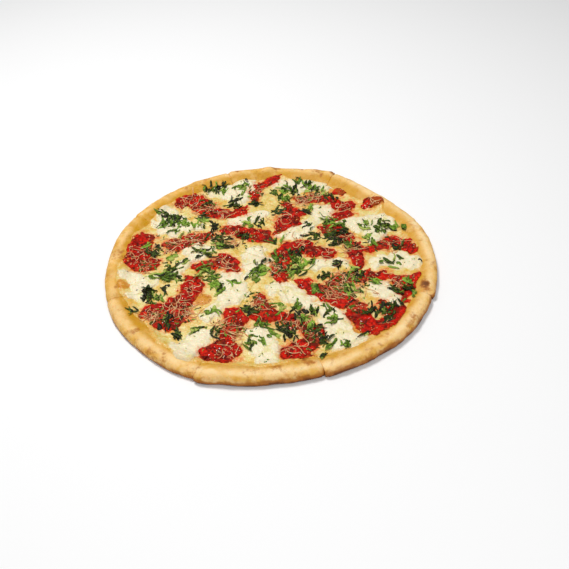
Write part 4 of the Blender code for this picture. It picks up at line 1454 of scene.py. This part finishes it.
def speckle_group() -> bpy.types.NodeTree:
    """Scattered round spots of uneven size, as a mask."""
    group = Mask("speckles", "Mask", Size=0.003, Cover=0.3, Soften=0.1)
    nodes, given = group.nodes, group.given
    spots = nodes.texture("ShaderNodeTexVoronoi", Scale=group.per_metre("Size"))
    limit = nodes.times(given["Cover"], nodes.noise(0.014, 2.0))
    start = nodes.math("ADD", limit, given["Soften"])
    nodes.feed(group.result, nodes.range(spots.outputs["Distance"], start, limit))
    return group.tree


def relief_group() -> bpy.types.NodeTree:
    """Fine bumps of two sizes, as a height."""
    group = Mask("fine_relief", "Height", Coarse=0.004, Fine=0.001, Share=0.5)
    nodes = group.nodes
    coarse, fine = (
        nodes.texture("ShaderNodeTexNoise", Scale=group.per_metre(key), Detail=2.0).outputs["Fac"]
        for key in ("Coarse", "Fine")
    )
    nodes.feed(group.result, nodes.math("ADD", coarse, nodes.times(fine, group.given["Share"])))
    return group.tree


@dataclass(frozen=True)
class Finish:
    """What every finish of the pizza has: its name, and how it is wired up."""

    name: str
    speckles: bpy.types.NodeTree
    relief: bpy.types.NodeTree

    def start(self) -> tuple[bpy.types.Material, Nodes, bpy.types.Node]:
        """A new material, its nodes and its Principled BSDF."""
        made = bpy.data.materials.new(self.name)
        made.use_nodes = True
        nodes = Nodes(made.node_tree)
        return made, nodes, made.node_tree.nodes["Principled BSDF"]

    def spots(self, nodes: Nodes, size: float, cover: float, soften: float) -> Socket:
        """Scattered spots of a size in metres, as a mask."""
        return nodes.group(self.speckles, "Mask", Size=size, Cover=cover, Soften=soften)

    def grain(self, nodes: Nodes, coarse: float, fine: float, share: float) -> Socket:
        """Bumps of two sizes in metres, with the share of the fine ones, as a height."""
        return nodes.group(self.relief, "Height", Coarse=coarse, Fine=fine, Share=share)

    @staticmethod
    def surface(
        nodes: Nodes, shader: bpy.types.Node, colour: Socket, rough: Socket, height: Socket,
        depth: float,
    ) -> None:
        """Feeds the shader.

        Args:
            nodes: the material's nodes.
            shader: its Principled BSDF.
            colour: the base colour.
            rough: the roughness.
            height: the height that the bumps follow.
            depth: how high a height of 1 is, in metres.
        """
        node = nodes.tree.nodes.new("ShaderNodeBump")
        for socket, value in (
            (shader.inputs["Base Color"], colour), (shader.inputs["Roughness"], rough),
            (node.inputs["Height"], height), (node.inputs["Strength"], 1.0),
            (node.inputs["Distance"], depth), (shader.inputs["Normal"], node.outputs["Normal"]),
        ):
            nodes.feed(socket, value)


@dataclass(frozen=True)
class CrustFinish(Finish):
    """Baked dough: pale on the crest as a painted highlight, golden round it, oily inside and brown
    below, partly as painted shade.
    """

    pale: Colour = Colour(244, 198, 124)
    golden: Colour = Colour(230, 173, 64)
    amber: Colour = Colour(212, 142, 32)
    oily: Colour = Colour(204, 146, 2)
    # Toasted and dark give real browning, and also the painted shade low on the outer side
    toasted: Colour = Colour(172, 98, 20)
    dark: Colour = Colour(92, 42, 8)
    # Flour, and also the painted highlight on the crest
    flour_and_highlight: Colour = Colour(250, 220, 164)

    def material(self) -> bpy.types.Material:
        """Builds the material."""
        made, nodes, shader = self.start()
        oil = nodes.broken("oil", 0.012, 0.2, 0.6, 0.5, 0.95, detail=3.0)
        brown = nodes.frayed("brown", 0.007, 0.3, 0.75, -0.22, 0.25, detail=5.0, rough=0.65)
        # Painted shade mixed with real browning, low on the rim's outer side
        low = nodes.frayed("low", 0.012, 0.3, 0.7, -0.22, 0.18)
        crumbs = self.spots(nodes, 0.0032, 0.34, 0.12)
        colour = nodes.coats(
            self.pale,
            (nodes.range(nodes.noise(0.022, 4.0, 0.6, 0.6), 0.38, 0.62), self.golden),
            (nodes.clouds(0.014, 0.52, 0.7, last=0.7, rough=0.6), self.amber),
            (nodes.times(nodes.clouds(0.009, 0.52, 0.75), 0.4), self.flour_and_highlight),
            (oil, self.oily),
            # Painted highlight: the crest made pale
            (nodes.broken("pale", 0.016, 0.3, 0.6, 0.35), self.flour_and_highlight),
            (nodes.range(brown, 0.13, 0.65, last=0.85), self.toasted),
            (nodes.range(brown, 0.55, 1.0, last=0.8), self.dark),
            # Real browning with painted shade on the outer side's foot
            (nodes.range(low, 0.1, 0.6, last=0.9), self.toasted),
            (nodes.range(low, 0.6, 1.05, last=0.85), self.dark),
            (nodes.times(crumbs, 0.12), self.toasted),
        )
        rough = nodes.range(oil, 0.0, 0.8, 0.64, 0.46)
        self.surface(nodes, shader, colour, rough, self.grain(nodes, 0.0045, 0.0012, 0.5), 0.0011)
        shader.inputs["Specular IOR Level"].default_value = 0.25
        shader.inputs["Subsurface Weight"].default_value = 0.08
        shader.inputs["Subsurface Scale"].default_value = 0.003
        return made


@dataclass(frozen=True)
class CheeseFinish(Finish):
    """Melted fresh cheese: white in the pools, yellow and oily between them."""

    milk: Colour = Colour(240, 227, 190)
    cream: Colour = Colour(234, 211, 136)
    butter: Colour = Colour(220, 176, 68)
    green: Colour = Colour(218, 204, 104)
    oil: Colour = Colour(226, 112, 34)
    baked: Colour = Colour(228, 166, 62)
    toasted: Colour = Colour(212, 136, 16)
    charred: Colour = Colour(172, 92, 16)

    def material(self) -> bpy.types.Material:
        """Builds the material."""
        made, nodes, shader = self.start()
        pool = nodes.frayed("pool", 0.006, 0.3, 0.7, -0.2, 0.2)
        stain = nodes.broken("stain", 0.005, 0.34, 0.6, 0.1, 0.9)
        edge = nodes.broken("edge", 0.007, 0.35, 0.62, 0.35, detail=3.0)
        drops = self.spots(nodes, 0.0042, 0.38, 0.06)
        toast = nodes.frayed("toast", 0.003, 0.3, 0.7, -0.14, 0.14)
        colour = nodes.coats(
            self.cream,
            (nodes.range(nodes.noise(0.011, 4.0, 0.6, 0.4), 0.4, 0.64), self.butter),
            (nodes.range(pool, 0.0, 0.85), self.milk),
            (nodes.clouds(0.012, 0.5, 0.7, last=0.6, detail=3.0, rough=0.6), self.green),
            (nodes.times(stain, nodes.range(pool, 0.2, 1.0, 1.0, 0.5)), self.oil),
            (nodes.times(edge, nodes.range(pool, 0.3, 1.0, 1.0, 0.25)), self.baked),
            (nodes.times(drops, nodes.clouds(0.02, 0.45, 0.65, last=0.5, detail=2.0)), self.butter),
            (nodes.range(toast, 0.12, 0.5, last=0.9), self.toasted),
            (nodes.range(toast, 0.85, 1.15, last=0.75), self.charred),
        )
        rough = nodes.clouds(0.004, 0.3, 0.7, 0.26, 0.46, detail=3.0)
        self.surface(nodes, shader, colour, rough, self.grain(nodes, 0.0034, 0.0013, 0.35), 0.0012)
        shader.inputs["Subsurface Weight"].default_value = 0.15
        shader.inputs["Subsurface Scale"].default_value = 0.003
        return made


@dataclass(frozen=True)
class SauceFinish(Finish):
    """Crushed tomato: bright red with painted shade between the lumps, pink where hard cheese melted in
    and brown there, partly as painted shadow.
    """

    bright: Colour = Colour(226, 26, 1)
    ripe: Colour = Colour(192, 14, 0)
    # Painted shade in the low parts of the lumps and the hollows between them
    deep: Colour = Colour(84, 8, 0)
    orange: Colour = Colour(226, 88, 20)
    dusty: Colour = Colour(206, 98, 58)
    # Partly the brown of melted hard cheese and basil, partly painted shadow between the shreds
    brown: Colour = Colour(66, 32, 4)
    toasted: Colour = Colour(176, 78, 18)
    lump_size: float = 0.0042

    def material(self) -> bpy.types.Material:
        """Builds the material."""
        made, nodes, shader = self.start()
        lumps = nodes.frayed("chunk", 0.0035, 0.3, 0.7, -0.3, 0.3)
        dust = nodes.broken("dust", 0.003, 0.4, 0.62, rough=0.65)
        # Brown in the dusted zones: partly real, partly painted shadow between the shreds
        shade = nodes.broken("dust", 0.0045, 0.48, 0.64)
        toast = nodes.frayed("toast", 0.003, 0.3, 0.7, -0.3, 0.3)
        colour = nodes.coats(
            self.ripe,
            (nodes.clouds(0.016, 0.4, 0.6, detail=3.0), self.bright),
            # Painted shade: deep red in the low parts of the lumps and in the hollows between the cells
            (nodes.range(lumps, 0.12, 0.7, 0.95, 0.0), self.deep),
            (nodes.range(nodes.cells(self.lump_size), 0.42, 0.7, last=0.5), self.deep),
            (nodes.clouds(0.0022, 0.56, 0.72, last=0.5, detail=3.0), self.orange),
            (nodes.broken("thin", 0.006, 0.35, 0.65, 0.1, 0.9), self.orange),
            (nodes.times(dust, 0.75), self.dusty),
            (nodes.times(shade, 0.88), self.brown),
            (nodes.range(toast, 0.3, 0.8, last=0.9), self.toasted),
        )
        rough = nodes.clouds(0.003, 0.3, 0.7, 0.34, 0.55, detail=3.0)
        grain = self.grain(nodes, 0.0026, 0.0009, 0.4)
        height = nodes.math("SUBTRACT", grain, nodes.cells(self.lump_size))
        self.surface(nodes, shader, colour, rough, height, 0.0014)
        nodes.feed(shader.inputs["Coat Weight"], self.spots(nodes, 0.0032, 0.42, 0.05))
        shader.inputs["Coat Roughness"].default_value = 0.09
        shader.inputs["Specular IOR Level"].default_value = 0.12
        return made


@dataclass(frozen=True)
class LeafFinish(Finish):
    """Basil from wilted, nearly black green to fresh and yellow green."""

    wilted: Colour = Colour(28, 24, 3)
    green: Colour = Colour(76, 102, 12)
    fresh: Colour = Colour(140, 178, 58)
    yellow: Colour = Colour(200, 204, 104)

    def material(self) -> bpy.types.Material:
        """Builds the material."""
        made, nodes, shader = self.start()
        tone = nodes.frayed("tone", 0.003, 0.3, 0.7, -0.2, 0.2, detail=3.0)
        yellowed = nodes.times(
            nodes.range(nodes.mark("grain"), 0.72, 0.95), nodes.range(tone, 0.3, 0.7)
        )
        colour = nodes.coats(
            self.wilted,
            (nodes.range(tone, 0.08, 0.52), self.green),
            (nodes.range(tone, 0.45, 0.95), self.fresh),
            (nodes.times(yellowed, 0.7), self.yellow),
        )
        rough = nodes.clouds(0.002, 0.3, 0.7, 0.3, 0.5, detail=2.0)
        self.surface(nodes, shader, colour, rough, self.grain(nodes, 0.0015, 0.0006, 0.5), 0.0005)
        shader.inputs["Specular IOR Level"].default_value = 0.2
        return made


@dataclass(frozen=True)
class GratedFinish(Finish):
    """Hard cheese: cream, a little pink and orange where it lies in the sauce."""

    cream: Colour = Colour(242, 214, 158)
    straw: Colour = Colour(230, 182, 120)
    pink: Colour = Colour(218, 138, 88)

    def material(self) -> bpy.types.Material:
        """Builds the material."""
        made, nodes, shader = self.start()
        colour = nodes.coats(
            self.cream,
            (nodes.range(nodes.mark("tone"), 0.2, 0.9), self.straw),
            (nodes.clouds(0.006, 0.4, 0.6, 0.15, 0.9, detail=3.0), self.pink),
        )
        rough = nodes.clouds(0.002, 0.3, 0.7, 0.38, 0.55, detail=2.0)
        self.surface(nodes, shader, colour, rough, self.grain(nodes, 0.0012, 0.0005, 0.5), 0.0003)
        return made


# The stage


@dataclass(frozen=True)
class Stage:
    """Floor, lights and camera."""

    distance: float = 1.0125
    elevation: float = 40.2
    roll: float = 3.85
    focal_pixels: float = 735.0
    picture: float = 569.0
    sensor: float = 36.0
    middle_pixel: tuple[float, float] = (268.3, 262.8)
    floor_half: float = 6.0
    floor_drop: float = 0.0004
    floor_grey: float = 0.93
    floor_rough: float = 0.7
    sky: float = 0.26
    # Each lamp's name, place, width and power
    lamps: tuple = (
        ("key", (-0.45, 0.65, 1.85), 0.55, 27.0),
        ("fill", (0.4, -1.3, 1.6), 1.2, 15.0),
    )

    @staticmethod
    def aimed(place: Vector) -> Matrix:
        """Stands at a place and looks at the middle of the pizza."""
        turn = (-place).to_track_quat("-Z", "Y").to_matrix().to_4x4()
        return Matrix.Translation(place) @ turn

    def camera(self) -> None:
        """Sets the camera at the photograph's place."""
        data = bpy.data.cameras.new("camera")
        data.sensor_width = self.sensor
        data.lens = self.focal_pixels / self.picture * self.sensor
        centre = self.picture / 2.0
        data.shift_x = (centre - self.middle_pixel[0]) / self.picture
        data.shift_y = (self.middle_pixel[1] - centre) / self.picture
        camera = bpy.data.objects.new("camera", data)
        up = math.radians(self.elevation)
        place = Vector((0.0, -math.cos(up), math.sin(up))) * self.distance
        rolled = Matrix.Rotation(-math.radians(self.roll), 4, "Z")
        camera.matrix_world = self.aimed(place) @ rolled
        bpy.context.scene.collection.objects.link(camera)
        bpy.context.scene.camera = camera

    def lights(self) -> None:
        """Adds the soft square lamps."""
        for name, place, size, power in self.lamps:
            data = bpy.data.lights.new(name, "AREA")
            data.size = size
            data.energy = power
            lamp = bpy.data.objects.new(name, data)
            lamp.matrix_world = self.aimed(Vector(place))
            bpy.context.scene.collection.objects.link(lamp)

    def floor(self) -> None:
        """Adds a wide pale floor."""
        mesh = bpy.data.meshes.new("floor")
        half = self.floor_half
        corners = [(-half, -half, 0), (half, -half, 0), (half, half, 0), (-half, half, 0)]
        mesh.from_pydata(corners, [], [(0, 1, 2, 3)])
        material = bpy.data.materials.new("floor")
        material.use_nodes = True
        shader = material.node_tree.nodes["Principled BSDF"]
        shader.inputs["Base Color"].default_value = (*(self.floor_grey,) * 3, 1.0)
        shader.inputs["Roughness"].default_value = self.floor_rough
        mesh.materials.append(material)
        made = bpy.data.objects.new("floor", mesh)
        made.location.z = -self.floor_drop
        bpy.context.scene.collection.objects.link(made)

    def world(self) -> None:
        """Sets an even pale sky and plain colours."""
        world = bpy.data.worlds.new("studio")
        world.use_nodes = True
        sky = world.node_tree.nodes["Background"]
        sky.inputs["Color"].default_value = (1.0, 1.0, 1.0, 1.0)
        sky.inputs["Strength"].default_value = self.sky
        bpy.context.scene.world = world
        bpy.context.scene.view_settings.view_transform = "Standard"

    def build(self) -> None:
        """Builds the whole stage."""
        self.camera()
        self.floor()
        self.world()
        self.lights()
        LOG.info("stage ready")


@dataclass
class Pizza:
    """All the pieces, in the order they are laid."""

    layout: Layout = field(default_factory=Layout)

    def build(self) -> None:
        """Makes every piece and hides the solids that it stands for."""
        speckles, relief = speckle_group(), relief_group()
        crust = CrustFinish("crust", speckles, relief).material()
        cheese = CheeseFinish("melted_cheese", speckles, relief).material()
        sauce = SauceFinish("tomato_sauce", speckles, relief).material()
        leaf = LeafFinish("basil", speckles, relief).material()
        hard = GratedFinish("hard_cheese", speckles, relief).material()
        dough = Dough(self.layout)
        toppings = Toppings(self.layout, dough)
        for index in range(len(self.layout.slices)):
            label = f"slice_{index + 1}"
            base = dough.skin(index).piece(f"{label}_crust", crust, Slot.DOUGH)
            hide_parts(f"{label}_dough")
            melted = toppings.cheese_skin(index).piece(f"{label}_melt", cheese, Slot.CHEESE)
            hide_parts(f"{label}_cheese")
            red = toppings.sauce_skin(index).piece(f"{label}_tomato", sauce, Slot.SAUCE)
            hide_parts(*[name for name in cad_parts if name.startswith(f"{label}_sauce")])
        herbs, grated = Herbs(toppings), Grated(toppings)
        herbs.ribbons().piece("basil_ribbons", leaf, Slot.CHEESE)
        herbs.specks().piece("basil_specks", leaf, Slot.CHEESE)
        herbs.bits().piece("basil_bits", leaf, Slot.CHEESE)
        grated.threads().piece("grated_threads", hard, Slot.CHEESE)
        grated.crumbs().piece("grated_crumbs", hard, Slot.CHEESE)


def main() -> None:
    """Builds the pizza and its stage; each piece logs its number of faces."""
    logging.basicConfig(level=logging.INFO, format="%(name)s: %(message)s")
    Stage().build()
    Pizza().build()
    bpy.context.view_layer.update()


if __name__ == "__main__":
    main()
